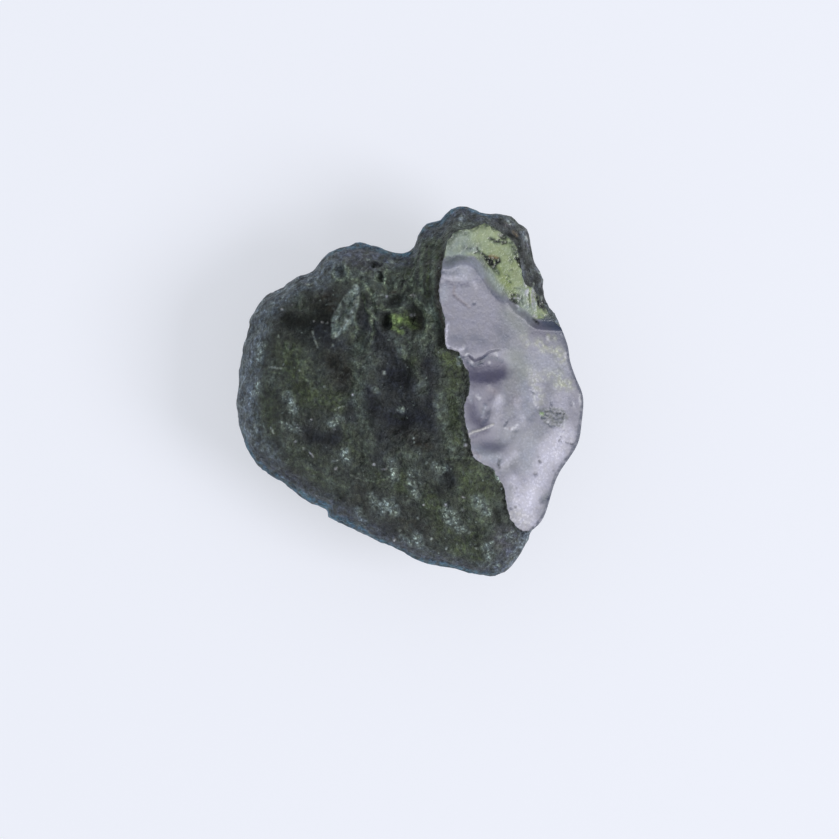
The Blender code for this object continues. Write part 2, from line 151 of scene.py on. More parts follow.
# Hollows in the skin: x, y, half lengths along and across, turn and depth.
HOLLOWS = [
    (-5.6, 4.3, 2.3, 1.9, 20, 0.85),
    (-3.9, 0.4, 1.5, 1.2, 60, 0.45),
    (-0.9, 1.0, 1.5, 1.3, 0, 0.6),
    (-0.6, -1.8, 1.6, 1.4, 30, 0.55),
    (-3.2, 2.9, 1.0, 0.8, 70, 0.45),
    (-4.3, 7.1, 0.5, 0.42, 0, 0.55),
    (-1.85, 6.8, 0.3, 0.24, 90, 0.35),
    (-2.0, 7.6, 0.42, 0.18, 10, 0.3),
    (-0.95, 5.3, 0.55, 0.5, 0, 0.4),
    (-1.4, 4.1, 0.36, 0.55, 0, 0.6),
    (0.35, 4.35, 0.75, 0.8, 0, 0.55),
    (-0.75, 4.15, 0.42, 0.42, 0, 0.2),
    (-5.5, -2.8, 1.3, 1.0, 0, 0.32),
    (-7.7, 0.9, 1.5, 1.0, 80, 0.3),
    (-2.6, -4.4, 1.5, 1.0, 150, 0.32),
    (1.9, -5.0, 0.95, 0.7, 120, 0.38),
    (0.1, -7.2, 1.3, 0.8, 20, 0.3),
    (3.6, -8.6, 1.0, 0.7, 60, 0.3),
    (5.6, -9.3, 0.7, 0.5, 40, 0.3),
    (2.3, -1.2, 0.8, 1.6, 0, 0.3),
]

# Low swellings of the skin, in the same form.
LUMPS = [
    (-3.9, 7.9, 1.6, 0.8, 0, 0.35),
    (-7.2, -1.4, 1.8, 1.4, 100, 0.3),
    (-2.2, -2.2, 1.3, 0.9, 60, 0.25),
    (2.7, -5.6, 1.6, 1.9, 20, 0.35),
    (-1.6, -7.4, 1.8, 0.9, 155, 0.28),
    (1.6, 2.2, 0.8, 1.2, 0, 0.25),
    (-8.2, 3.2, 1.2, 1.6, 20, 0.25),
    (2.3, 10.2, 0.9, 0.7, 0, 0.35),
]

# Furrows of the neck and the net of ridges round it: path, half width and depth.
FURROWS = [
    ([(1.35, 8.6), (1.42, 7.4), (1.28, 6.2), (1.35, 5.0), (1.62, 3.8), (1.75, 2.7)], 0.22, 0.34),
    ([(0.75, 9.3), (0.78, 7.8), (0.72, 6.4), (0.95, 5.2), (1.2, 4.2)], 0.2, 0.26),
    ([(0.0, 8.4), (0.05, 7.2), (0.2, 6.2), (0.3, 5.4)], 0.22, 0.24),
    ([(-0.55, 8.0), (-0.75, 7.1), (-1.2, 6.3), (-1.5, 5.4)], 0.22, 0.22),
    ([(-2.35, 5.9), (-2.15, 5.0), (-2.05, 4.2), (-2.2, 3.5)], 0.16, 0.2),
    ([(-2.75, 5.6), (-2.65, 4.8), (-2.6, 4.0), (-2.9, 3.3)], 0.14, 0.16),
]
RIDGES = [
    ([(-2.8, 6.2), (-2.45, 5.4), (-2.3, 4.6), (-1.95, 4.0), (-1.75, 3.3)], 0.13, 0.16),
    ([(-0.1, 5.6), (0.7, 5.4), (1.05, 4.6), (1.0, 3.5)], 0.14, 0.2),
    ([(-0.4, 8.0), (-0.3, 7.0), (-0.35, 6.2), (-0.2, 5.5)], 0.14, 0.14),
    ([(-1.55, 6.2), (-1.2, 5.9), (-0.5, 6.0)], 0.12, 0.14),
    ([(-0.35, -0.4), (0.5, -0.5), (1.3, -0.1)], 0.25, 0.14),
    ([(-4.9, 2.2), (-3.9, 1.9), (-2.9, 1.9), (-2.0, 2.2)], 0.3, 0.18),
    ([(-2.3, 1.6), (-2.5, 0.3), (-2.3, -1.0), (-2.0, -2.0)], 0.3, 0.16),
]

# Shell-like dishes of the fracture, with sharp rims, in the form of the hollows.
DISHES = [
    (3.9, 4.6, 2.6, 3.4, 15, 0.07),
    (4.6, 1.35, 1.9, 0.95, 5, 0.11),
    (4.45, -1.0, 1.15, 1.35, 0, 0.09),
    (4.75, -3.0, 1.55, 0.85, 10, 0.1),
    (7.6, 0.6, 2.4, 3.2, 20, 0.08),
    (6.5, -4.2, 1.8, 2.6, 30, 0.07),
    (6.9, -7.0, 1.4, 1.5, 0, 0.06),
]

# Concentric waves on the fracture: middle, first radius, spacing, count, half width, height
# and the directions between which they run.
WAVES = [
    ((1.4, 4.0), 2.35, 0.72, 2, 0.16, -0.03, 70, 110),
    ((2.6, 1.6), 3.2, 0.9, 4, 0.3, 0.02, -60, -5),
    ((9.6, -3.0), 2.4, 0.8, 3, 0.3, 0.02, 120, 220),
]

# The scalloped lower edge of the fracture's upper lobe, and the height of that step.
LOBE_EDGE = [
    (2.2, 2.45), (2.75, 2.2), (3.1, 1.85), (3.45, 2.0), (3.8, 1.65), (4.3, 1.85), (4.75, 2.2),
    (5.3, 2.3), (6.2, 2.2),
]
LOBE_STEP = 0.12
LOBE_SLOPE = 0.16
LOBE_FADE = 1.5

# How soon the waves start at the ends of their arcs, in degrees.
WAVE_FADE = 15.0

# How soon the uneven skin starts beside the fracture, and below the fracture on the stone's side.
WORN_MARGIN = 0.25
WORN_DROP = 0.06

# How far up the unit sphere the grid is cut finer.
FINE_FROM = 0.1

# Dents of the sides and the underside, placed by a seeded draw.
DENT_SEED = 11
DENTS = 34
DENT_SIZES = (9.0, 21.0)
DENT_DEPTHS = (0.12, 0.42)
DENT_HEIGHTS = (-75.0, 4.0)

# Relief of the skin: size of the forms, their height and the seed offset of each layer.
RELIEF = [(3.2, 0.22, 5.0), (1.25, 0.12, 17.0), (0.55, 0.05, 31.0)]

# Fine marks of the skin: kind, strength, half width, rise, and a path or a single place. Most are
# the skin's own colours; some are painted light: bluish reflections along the rim, glints, the lit
# edge of the chip and light coming through thin glass.
SKIN_MARKS = [
    ("veil", 0.7, 0.78, 0, [(-2.13, 6.87), (-0.81, 6.99), (0.15, 7.59)]),
    ("veil", 0.6, 0.72, 0, [(-0.81, 5.91), (0.99, 4.71)]),
    ("veil", 0.7, 0.6, 0, [(0.15, 8.43), (1.47, 9.27)]),
    ("veil", 0.6, 0.78, 0, [(-4.65, 7.35), (-2.25, 7.71), (-0.69, 7.71)]),
    ("veil", 0.5, 0.54, 0, [(-2.61, 6.15), (-2.37, 5.07)]),
    ("veil", 0.6, 0.42, 0, [(1.71, 9.75), (2.55, 10.47)]),
    ("veil", 0.7, 0.42, 0, [(3.15, 10.11), (4.23, 10.17)]),
    ("veil", 0.3, 0.72, 0, [(-3.45, 3.63), (-2.61, 1.83), (-2.85, -0.27)]),
    ("veil", 0.35, 0.54, 0, [(-8.49, 1.23), (-8.37, -0.09)]),
    ("moss", 0.65, 0.66, 0, [(-7.17, 2.31), (-6.69, 0.15)]),
    ("moss", 0.6, 0.66, 0, [(-8.73, -0.69), (-8.49, -2.25)]),
    ("moss", 0.7, 0.72, 0, [(-6.09, -0.33), (-4.65, -0.57)]),
    ("moss", 0.35, 0.72, 0, [(-3.87, -2.85), (-3.45, -3.33)]),
    ("moss", 0.4, 0.84, 0, [(-6.57, -4.17), (-4.77, -5.97)]),
    ("moss", 0.9, 0.42, 0, [(0.15, 1.83), (0.33, 1.41)]),
    ("moss", 1, 0.48, 0, [(2.19, 1.95), (2.67, 1.11), (2.79, 0.39)]),
    ("moss", 0.8, 0.48, 0, [(2.25, -0.45), (2.43, -1.47), (2.55, -2.97)]),
    ("moss", 0.5, 0.54, 0, [(-0.57, -4.29), (-0.09, -5.67)]),
    ("moss", 0.85, 0.42, 0, [(-0.51, -4.77), (-0.33, -5.85)]),
    ("moss", 1, 1.02, 0, [(3.39, -5.25), (4.23, -6.09)]),
    ("moss", 0.8, 0.54, 0, [(1.23, -6.45), (1.71, -7.77)]),
    ("moss", 0.5, 0.72, 0, [(2.13, -8.07), (3.93, -8.37)]),
    ("moss", 0.6, 0.6, 0, [(2.73, -9.27), (4.11, -9.87)]),
    ("moss", 0.45, 0.54, 0, [(-6.87, 6.03), (-6.45, 5.43)]),
    ("moss", 0.6, 0.3, 0, [(-0.27, 7.53), (0.03, 6.93)]),
    ("moss", 0.35, 0.6, 0, [(-2.61, -3.87), (-2.01, -5.37)]),
    ("olive", 0.5, 0.54, 0, [(-2.49, -2.97), (-2.37, -3.87)]),
    ("earth", 1, 0.66, 0, [(-4.59, 1.71), (-3.99, 0.99)]),
    ("dark", 0.7, 0.42, 0, [(-4.41, 1.59), (-4.17, 1.23)]),
    ("earth", 0.7, 0.72, 0, [(-5.01, 5.55), (-4.77, 4.71)]),
    ("earth", 0.5, 0.72, 0, [(-7.47, -5.37), (-6.57, -6.27)]),
    ("earth", 0.4, 0.84, 0, [(-3.45, -6.21), (0.63, -8.37)]),
    ("earth", 0.6, 0.3, 0, [(0.27, -3.03), (1.23, -3.27)]),
    ("earth", 0.5, 0.42, 0, [(-0.87, -2.37), (0.15, -2.61)]),
    ("dark", 1, 0.72, 0, [(-7.17, 4.17), (-5.61, 3.93)]),
    ("dark", 0.7, 0.6, 0, [(-5.49, 4.71), (-4.65, 4.11)]),
    ("dark", 0.6, 0.48, 0, [(-6.39, 3.03), (-5.85, 2.73)]),
    ("ink", 0.8, 0.54, 0, [(-5.25, 3.45), (-4.17, 2.67)]),
    ("ink", 0.85, 0.54, 0, [(-2.73, 4.11), (-1.89, 3.27)]),
    ("ink", 0.8, 0.66, 0, [(-2.13, 2.73), (-0.81, 2.31)]),
    ("ink", 1, 0.9, -0.03, [(-1.17, 1.11), (-0.33, 0.51)]),
    ("ink", 1, 0.54, -0.03, [(-2.37, -0.33), (-2.07, -1.17)]),
    ("ink", 0.6, 0.72, 0, [(-1.29, -0.33), (-0.33, -0.69)]),
    ("ink", 1, 0.72, -0.02, [(-1.29, -1.65), (0.75, -1.65)]),
    ("ink", 0.9, 0.42, -0.02, [(1.11, 1.71), (1.23, 0.75)]),
    ("ink", 0.9, 0.48, -0.02, [(1.11, -0.15), (1.29, -0.81)]),
    ("ink", 0.7, 0.48, 0, [(1.23, -2.07), (1.59, -2.49)]),
    ("ink", 0.8, 0.42, 0, [(-3.45, -0.99), (-3.33, -1.41)]),
    ("ink", 0.85, 0.54, 0, [(-6.09, -2.61), (-5.13, -2.97)]),
    ("ink", 0.8, 0.36, 0, [(-4.65, -2.73), (-4.53, -3.09)]),
    ("ink", 0.8, 0.3, -0.03, [(-1.77, -2.61), (-1.53, -2.85)]),
    ("ink", 0.7, 0.54, 0, [(-1.77, -3.81), (-0.81, -4.29)]),
    ("ink", 0.8, 0.48, 0, [(2.19, -4.89), (2.55, -5.43)]),
    ("dark", 0.7, 0.3, 0, [(1.65, -5.91), (2.01, -6.21)]),
    ("dark", 0.9, 0.3, 0, [(5.25, -7.17), (5.49, -7.95)]),
    ("dark", 0.6, 0.24, 0, [(4.65, -8.67), (5.01, -8.91)]),
    ("ink", 0.5, 0.54, 0, [(-1.47, -8.25), (-0.57, -9.45)]),
    ("ink", 0.5, 0.42, 0, [(-3.87, -7.05), (-3.45, -7.41)]),
    ("ink", 0.4, 0.54, 0, [(-8.25, 5.43), (-7.17, 6.63)]),
    ("mauve", 0.95, 0.66, 0, [(5.79, -8.97), (6.51, -9.57)]),
    ("mauve", 0.7, 0.54, 0, [(-4.17, 8.19), (-2.13, 8.37)]),
    ("mauve", 0.5, 0.48, 0, [(-2.25, 7.35), (-3.45, 7.71)]),
    ("mauve", 0.8, 0.24, 0, [(6.87, 9.51), (7.05, 8.67)]),
    ("mauve", 0.6, 0.18, 0, [(7.53, 7.71), (7.89, 6.33), (8.13, 5.43)]),
    ("dusk", 0.85, 0.24, 0, [(2.19, 10.59), (2.91, 10.95), (3.87, 10.65)]),
    ("dusk", 0.8, 0.18, 0, [(4.35, 10.65), (5.19, 10.41)]),
    # Painted pale bluish reflection along the left rim.
    ("haze", 0.8, 0.36, 0, [(-9.21, 2.55), (-9.57, 1.11), (-9.69, -0.45)]),
    ("haze", 0.55, 0.48, 0, [(-8.97, 3.63), (-9.27, 2.31)]),
    ("haze", 0.4, 0.48, 0, [(-9.57, -0.87), (-9.09, -2.73), (-8.13, -4.05)]),
    ("haze", 0.45, 0.3, 0, [(-8.97, 4.83), (-8.01, 6.03), (-6.57, 6.69)]),
    ("dusk", 0.5, 0.36, 0, [(-7.53, 6.27), (-6.57, 6.69), (-5.37, 7.59)]),
    ("veil", 0.65, 0.3, 0.02, [(-2.97, 2.73), (-3.09, 1.11), (-3.03, -0.09)]),
    ("veil", 0.7, 0.27, 0.03, [(-3.15, -0.57), (-2.97, -1.65), (-2.55, -2.49), (-2.37, -3.33)]),
    ("veil", 0.5, 0.3, 0.02, [(-2.49, 3.15), (-2.25, 1.71)]),
    ("veil", 0.6, 0.24, 0.02, [(-0.69, 2.91), (-0.33, 2.07)]),
    ("veil", 0.6, 0.3, 0.02, [(0.51, 3.27), (0.87, 2.43)]),
    ("veil", 0.5, 0.24, 0.02, [(1.71, -0.27), (1.89, -1.65), (2.07, -2.49)]),
    ("veil", 0.7, 0.24, 0.03, [(2.25, -2.73), (2.43, -3.69)]),
    ("veil", 0.7, 0.18, 0.02, [(2.01, -0.45), (2.13, -1.41), (2.01, -2.37)]),
    ("veil", 0.6, 0.24, 0.02, [(-1.29, -4.05), (-0.33, -3.69), (0.27, -3.93)]),
    ("veil", 0.4, 0.3, 0.02, [(0.63, 0.99), (0.75, -0.09)]),
    ("veil", 0.5, 0.18, 0.02, [(-6.39, -4.29), (-5.37, -4.77), (-4.59, -5.73)]),
    ("veil", 0.5, 0.24, 0.02, [(-4.17, -5.13), (-3.81, -6.09)]),
    ("vein", 0.55, 0.14, 0.02, [(0.21, 8.43), (0.15, 7.35), (0.27, 6.03)]),
    ("moss", 0.8, 0.18, -0.03, [(-0.09, 7.95), (-0.03, 7.11)]),
    ("vein", 0.7, 0.16, 0.04, [(0.66, 9.03), (0.72, 7.71), (0.69, 5.91)]),
    ("moss", 0.9, 0.14, -0.02, [(1.05, 8.79), (1.08, 7.35), (1.05, 5.55)]),
    ("vein", 0.6, 0.1, 0.04, [(1.38, 9.15), (1.41, 7.71), (1.38, 5.67)]),
    ("moss", 0.9, 0.11, 0, [(1.62, 9.03), (1.62, 7.71)]),
    ("earth", 0.85, 0.11, -0.04, [
        (1.86, 7.95), (1.71, 6.87), (1.62, 5.67), (1.74, 4.83), (1.95, 3.87), (1.89, 2.73)
    ]),
    ("veil", 0.8, 0.2, 0.02, [(1.29, 5.25), (1.47, 4.11), (1.23, 3.03)]),
    ("dark", 0.5, 0.09, -0.03, [(0.45, 8.43), (0.48, 7.23), (0.45, 6.03)]),
    ("dark", 0.6, 0.08, -0.03, [(0.9, 8.67), (0.9, 7.23), (0.87, 5.67)]),
    ("dark", 0.45, 0.07, -0.02, [(1.23, 7.71), (1.23, 5.67)]),
    ("dark", 0.7, 0.12, -0.02, [(2.07, 2.49), (2.79, 2.25), (3.03, 1.71)]),
    ("dark", 0.75, 0.11, 0, [
        (3.21, 1.11), (3.39, 0.33), (3.27, -0.57), (3.09, -1.41), (3.21, -2.13), (3.39, -2.97),
        (3.51, -3.57)
    ]),
    ("dark", 0.8, 0.1, -0.03, [(3.63, -3.75), (3.99, -4.11), (4.65, -4.47)]),
    ("dark", 0.6, 0.1, -0.02, [(2.19, -4.17), (2.79, -4.11), (3.39, -4.29)]),
    ("vein", 0.5, 0.07, 0.02, [(2.07, -4.05), (2.91, -3.99), (3.63, -4.05)]),
    ("dark", 0.7, 0.17, 0, [(5.49, -5.61), (5.61, -6.57), (5.73, -7.29)]),
    ("dark", 0.95, 0.25, -0.1, [(-4.23, 7.23), (-4.11, 6.93)]),
    ("vein", 0.5, 0.1, 0.03, [
        (-4.53, 7.35), (-4.59, 6.93), (-4.35, 6.57), (-3.93, 6.63), (-3.75, 7.11), (-3.93, 7.53)
    ]),
    ("dark", 0.95, 0.16, -0.08, [(-1.8, 6.99), (-1.71, 6.69)]),
    ("vein", 0.5, 0.08, 0.03, [(-2.07, 7.11), (-1.95, 6.57), (-1.59, 6.39)]),
    ("dark", 0.9, 0.1, -0.1, [(-2.13, 7.53), (-1.71, 7.62)]),
    ("pale", 0.7, 0.06, 0.05, [(-2.55, 7.8), (-2.13, 7.8), (-1.83, 7.74)]),
    ("dark", 0.9, 0.25, -0.08, [(-1.11, 5.37), (-0.75, 5.55)]),
    ("earth", 0.7, 0.12, 0, [(-1.23, 5.79), (-0.87, 5.85)]),
    ("vein", 0.7, 0.09, 0.04, [(-1.71, 5.07), (-1.53, 4.77), (-1.05, 4.77), (-0.45, 4.89)]),
    ("dark", 0.7, 0.25, -0.06, [(-0.03, 4.89), (0.51, 4.77)]),
    ("dark", 1, 0.25, -0.1, [(-1.47, 4.35), (-1.41, 3.93)]),
    ("earth", 0.9, 0.26, -0.08, [(0.51, 4.35), (0.57, 3.81)]),
    ("dark", 0.8, 0.16, -0.08, [(-0.63, 6.21), (-0.39, 6.57)]),
    ("dark", 0.6, 0.16, -0.07, [(-0.03, 7.71), (0.03, 7.47)]),
    ("dark", 0.5, 0.14, -0.06, [(-2.61, 5.67), (-2.55, 5.07)]),
    ("dark", 0.5, 0.11, -0.05, [(-2.37, 5.49), (-2.31, 5.07)]),
    ("dark", 0.9, 0.1, -0.05, [(1.11, -2.97)]),
    ("dark", 0.8, 0.11, -0.04, [(-1.05, -1.47), (-0.45, -1.71)]),
    ("dark", 0.7, 0.08, -0.04, [(0.27, -3.15), (0.93, -3.03)]),
    ("dark", 0.9, 0.14, -0.08, [(6.42, -8.4)]),
    ("dark", 0.9, 0.07, -0.05, [(6.69, -8.52), (7.23, -8.34), (7.71, -8.01)]),
    ("moss", 1, 0.36, 0, [(-0.33, 4.35), (0.15, 3.99)]),
    ("glow", 0.95, 0.2, 0.03, [(-0.96, 4.29), (-0.75, 4.11), (-0.39, 4.23)]),
    ("glow", 0.9, 0.13, 0.03, [(-0.99, 3.75), (-0.63, 3.57), (-0.45, 3.45)]),
    ("glow", 0.45, 0.21, 0.02, [(-0.09, 4.11), (0.15, 3.87)]),
    ("moss", 0.9, 0.07, -0.04, [(-0.93, 3.9), (-0.51, 3.87)]),
    ("dark", 0.7, 0.07, -0.04, [(-0.39, 3.63), (-0.15, 3.45)]),
    ("moss", 0.8, 0.05, -0.02, [(-0.81, 4.35), (-0.39, 4.44)]),
    ("vein", 0.9, 0.12, 0.06, [
        (0.09, 5.55), (0.57, 5.13), (0.87, 4.71), (0.99, 4.23), (0.97, 3.75), (0.8, 3.21)
    ]),
    ("vein", 0.7, 0.08, 0.03, [(1.11, 5.07), (1.29, 4.47), (1.23, 3.75)]),
    ("vein", 0.85, 0.1, 0.05, [
        (-2.85, 6.51), (-2.43, 5.91), (-2.1, 5.37), (-2.19, 4.95), (-1.56, 4.77)
    ]),
    ("vein", 0.7, 0.08, 0.04, [
        (-2.91, 6.03), (-2.73, 5.43), (-2.61, 4.89), (-2.31, 4.47), (-1.95, 4.17)
    ]),
    ("vein", 0.6, 0.11, 0.03, [(-3.69, 7.23), (-3.63, 6.63), (-3.09, 6.63), (-2.61, 6.21)]),
    ("vein", 0.6, 0.09, 0.03, [(-1.41, 7.59), (-1.41, 6.87), (-1.53, 6.39), (-1.29, 6.03)]),
    ("vein", 0.6, 0.1, 0.03, [(-0.33, 6.81), (-0.09, 6.57), (0.15, 5.91)]),
    ("vein", 0.5, 0.09, 0.02, [(-3.27, 7.23), (-2.85, 6.99), (-2.37, 7.11)]),
    ("vein", 0.6, 0.09, 0.02, [(-1.17, 7.11), (-0.81, 6.81), (-0.87, 6.15)]),
    ("vein", 0.55, 0.09, 0.02, [(-2.37, 4.23), (-2.13, 3.63), (-2.25, 3.03)]),
    ("vein", 0.5, 0.07, 0.02, [(-3.27, 4.35), (-3.15, 3.63), (-3.39, 3.03)]),
    ("vein", 0.45, 0.08, 0.02, [(-0.33, 3.15), (0.03, 2.67), (-0.21, 1.95)]),
    ("scar", 0.85, 0.08, 0, [
        (-3.15, 6.33), (-3.03, 5.67), (-3.09, 4.95), (-3.33, 4.29), (-3.81, 3.69), (-4.53, 3.15),
        (-4.59, 3.57), (-4.53, 4.23), (-4.17, 4.89), (-3.69, 5.61), (-3.15, 6.33)
    ]),
    # Painted highlight along the chip's right edge, where its facet catches the light.
    ("pale", 0.85, 0.1, 0.02, [(-3.21, 6.21), (-3.12, 5.67), (-3.18, 5.07)]),
    ("pale", 0.8, 0.14, 0.02, [(-3.21, 5.07), (-3.36, 4.53), (-3.69, 4.05)]),
    ("pale", 0.85, 0.08, 0.03, [(-3.69, 3.99), (-4.11, 3.57), (-4.5, 3.15)]),
    ("rough", 0.6, 0.14, 0, [(-3.87, 5.07), (-4.11, 4.53), (-4.17, 4.11)]),
    ("pale", 0.45, 0.05, 0.02, [(-3.51, 5.85), (-3.99, 5.25), (-4.38, 4.65), (-4.44, 3.99)]),
    ("moss", 0.5, 0.05, 0, [(-3.99, 4.47), (-3.69, 4.47)]),
    ("dark", 0.6, 0.13, -0.02, [(-2.88, 5.91), (-2.85, 5.07), (-3.03, 4.35)]),
    ("pale", 0.5, 0.05, 0.03, [(-5.82, 3.51), (-5.67, 3.03), (-5.49, 2.61)]),
    ("pale", 0.8, 0.08, 0.03, [(-5.52, 6.63), (-5.67, 6.39), (-6.09, 6.21)]),
    ("pale", 0.4, 0.05, 0.02, [(-4.41, -1.14), (-3.99, -0.93)]),
    ("pale", 0.4, 0.05, 0.02, [(-4.65, -4.29), (-4.23, -4.17)]),
    ("pale", 0.4, 0.05, 0.02, [(-3.51, -5.1), (-3, -5.31)]),
    ("vein", 0.45, 0.05, 0.02, [(-2.97, -5.37), (-2.13, -5.43), (-1.23, -5.19)]),
    ("pale", 0.45, 0.06, 0.02, [(5.25, -8.79), (5.85, -8.55), (6.15, -8.37)]),
    ("pale", 0.6, 0.12, 0.02, [(-1.23, 8.01), (-0.93, 7.89)]),
    ("pale", 0.45, 0.05, 0.02, [(-9.45, 1.47), (-9.27, 1.83), (-9.21, 2.31)]),
    ("pale", 0.45, 0.05, 0.02, [(-8.85, 2.73), (-8.85, 1.77)]),
    ("pale", 0.4, 0.05, 0.02, [(-8.37, 1.41), (-7.65, 1.29)]),
    ("vein", 0.5, 0.05, 0.02, [(-8.43, 1.11), (-7.53, 0.99)]),
    ("pale", 0.35, 0.05, 0.02, [(-9.27, -1.65), (-9.15, -2.49)]),
    ("vein", 0.5, 0.05, 0.02, [(-6.57, 0.57), (-5.73, 0.57)]),
    ("frost", 0.75, 0.24, 0.02, [(-7.29, -0.33), (-6.93, -1.11)]),
    ("frost", 0.8, 0.18, 0.03, [(-4.71, -2.07), (-4.23, -1.65)]),
    ("frost", 0.7, 0.24, 0.02, [(-3.87, -3.69), (-3.75, -4.05)]),
    ("frost", 0.9, 0.16, 0.02, [(-9.03, 0.39), (-9.21, -0.27)]),
    ("frost", 0.6, 0.13, 0.02, [(-8.91, 2.31), (-8.91, 1.83)]),
    ("frost", 0.5, 0.18, 0.02, [(-8.67, 2.73), (-9.33, 1.47)]),
    ("frost", 0.9, 0.33, 0.03, [(0.21, -5.13), (0.39, -5.91)]),
    ("frost", 0.85, 0.16, 0.04, [(1.47, -4.47), (1.71, -4.83), (2.01, -4.59)]),
    ("frost", 0.8, 0.16, 0.03, [(5.25, -5.01), (5.37, -5.31)]),
    ("frost", 0.6, 0.15, 0.02, [(4.65, -4.29), (5.19, -4.77)]),
    ("frost", 0.85, 0.3, 0.03, [(2.31, -7.41), (2.97, -8.19)]),
    ("frost", 0.8, 0.21, 0.03, [(0.39, -8.61), (0.57, -9.21)]),
    ("frost", 0.7, 0.15, 0.02, [(-0.45, -8.73), (0.03, -9.09)]),
    ("frost", 0.8, 0.3, 0.03, [(-3.15, -7.35), (-2.85, -7.83)]),
    ("frost", 0.8, 0.27, 0.02, [(-1.35, -6.75), (-0.93, -7.17)]),
    ("frost", 0.8, 0.21, 0.03, [(4.53, -9.33), (4.71, -9.75)]),
    ("frost", 0.8, 0.13, 0.03, [(4.77, -10.47), (5.19, -10.35)]),
    ("frost", 0.6, 0.11, 0.02, [(4.65, -9.21), (4.89, -9.03)]),
    ("frost", 0.6, 0.13, 0.02, [(-2.13, 0.09), (-1.95, -0.03)]),
    ("frost", 0.6, 0.12, 0.02, [(-0.63, -1.14), (-0.45, -1.2)]),
    ("frost", 0.5, 0.12, 0.02, [(1.5, -0.75), (1.53, -0.93)]),
    ("frost", 0.6, 0.24, 0.02, [(-0.93, -5.13), (-1.05, -4.29)]),
    ("frost", 0.6, 0.11, 0.02, [(2.94, 1.89), (2.97, 1.47)]),
    ("frost", 0.5, 0.3, 0.02, [(4.11, -6.57), (4.59, -7.05)]),
    ("frost", 0.5, 0.24, 0.02, [(-7.53, -2.01), (-6.81, -2.25)]),
    ("frost", 0.5, 0.3, 0.02, [(-2.25, -6.57), (-1.89, -7.29)]),
    ("frost", 0.5, 0.18, 0.02, [(5.91, -8.67), (6.39, -9.15)]),
    ("rough", 0.9, 0.36, 0, [
        (5.07, 10.17), (5.79, 9.75), (6.27, 9.27), (6.69, 8.43), (6.99, 7.23), (7.29, 6.39)
    ]),
    ("rough", 0.7, 0.24, 0, [(7.59, 6.03), (7.95, 5.07)]),
    ("dark", 0.85, 0.14, -0.05, [(5.19, 10.17), (5.37, 9.93)]),
    ("dark", 0.9, 0.24, -0.06, [(5.91, 9.27), (6.45, 9.03), (6.57, 8.31)]),
    ("dark", 0.8, 0.18, -0.05, [(6.75, 7.95), (7.05, 7.47)]),
    ("dark", 0.75, 0.18, -0.05, [(7.47, 6.87), (7.35, 6.27)]),
    ("dark", 0.85, 0.18, -0.05, [(7.83, 6.03), (7.89, 5.43), (8.07, 4.83)]),
    ("amber", 0.35, 0.1, 0, [(6.21, 9.45), (6.39, 9.27)]),
    ("warm", 0.3, 0.12, 0, [(5.67, 9.87), (6.03, 9.93)]),
    # Painted pale bluish reflections along the rim of the upper horn, among its rough flakes.
    ("haze", 0.8, 0.13, 0.02, [(5.91, 10.11), (6.09, 9.99)]),
    ("pale", 0.75, 0.07, 0.03, [(5.85, 10.11), (5.97, 9.93)]),
    ("haze", 0.8, 0.11, 0.02, [(6.81, 9.39), (6.99, 8.91)]),
    ("haze", 0.8, 0.09, 0.02, [(7.65, 7.23), (7.89, 6.51)]),
    ("pale", 0.6, 0.07, 0.03, [(7.8, 7.11), (7.89, 6.45)]),
    ("pale", 0.6, 0.06, 0.03, [(7.83, 5.55), (7.83, 5.19)]),
    ("pale", 0.6, 0.06, 0.03, [(7.29, 6.27), (7.35, 5.55), (7.29, 4.95)]),
    ("pale", 0.9, 0.12, 0.03, [(3.15, 10.41), (3, 10.23), (2.94, 10.05)]),
    ("haze", 0.7, 0.18, 0.02, [(8.25, 5.13), (8.49, 4.71), (8.73, 4.17)]),
    ("dark", 0.5, 0.09, -0.03, [(8.31, 4.95), (8.49, 4.47)]),
    ("haze", 0.5, 0.12, 0, [(2.55, 10.59), (3.15, 10.89)]),
    ("white", 0.8, 0.06, 0.04, [(-7.65, 4.86)]),
    ("white", 0.75, 0.05, 0.04, [(-7.05, 5.07)]),
    ("white", 0.6, 0.05, 0.03, [(-4.87, 3.99)]),
    ("white", 0.55, 0.05, 0.03, [(-5.21, 4.05)]),
    ("white", 0.45, 0.05, 0.03, [(-5.73, 4.07)]),
    ("pale", 0.6, 0.07, 0.03, [(-7.77, 3.21)]),
    ("pale", 0.6, 0.07, 0.03, [(-4.59, 2.67)]),
    ("white", 0.7, 0.06, 0.04, [(-6.19, 6.33)]),
    ("pale", 0.7, 0.08, 0.03, [(-1.53, 1.02)]),
    ("white", 0.6, 0.08, 0.04, [(0.09, 5.61), (0.27, 5.55)]),
    ("white", 0.75, 0.07, 0.04, [(0.09, 4.45), (0.21, 4.45)]),
    ("white", 0.6, 0.06, 0.03, [(-1.39, 5.56)]),
    ("pale", 0.6, 0.06, 0.03, [(-1.69, 5.65)]),
    ("white", 0.8, 0.08, 0.04, [(3.31, -3.27)]),
    ("white", 0.8, 0.07, 0.04, [(-2.08, -4.38)]),
    ("white", 0.75, 0.07, 0.04, [(-1.59, -4.69), (-1.41, -4.65)]),
    ("white", 0.8, 0.05, 0.04, [(-5.88, -1.75)]),
    ("white", 0.75, 0.05, 0.04, [(-6.57, -2.24)]),
    ("white", 0.65, 0.05, 0.04, [(-6.77, -2.08)]),
    ("white", 0.9, 0.05, 0.05, [(-5.97, -3.75), (-5.82, -3.99)]),
    ("pale", 0.8, 0.07, 0.04, [(-6.39, -3.51)]),
    ("white", 0.6, 0.05, 0.03, [(-6.87, -3.09)]),
    ("white", 0.9, 0.07, 0.05, [(-4.44, -4.71)]),
    ("pale", 0.8, 0.06, 0.04, [(-7.83, -4.75)]),
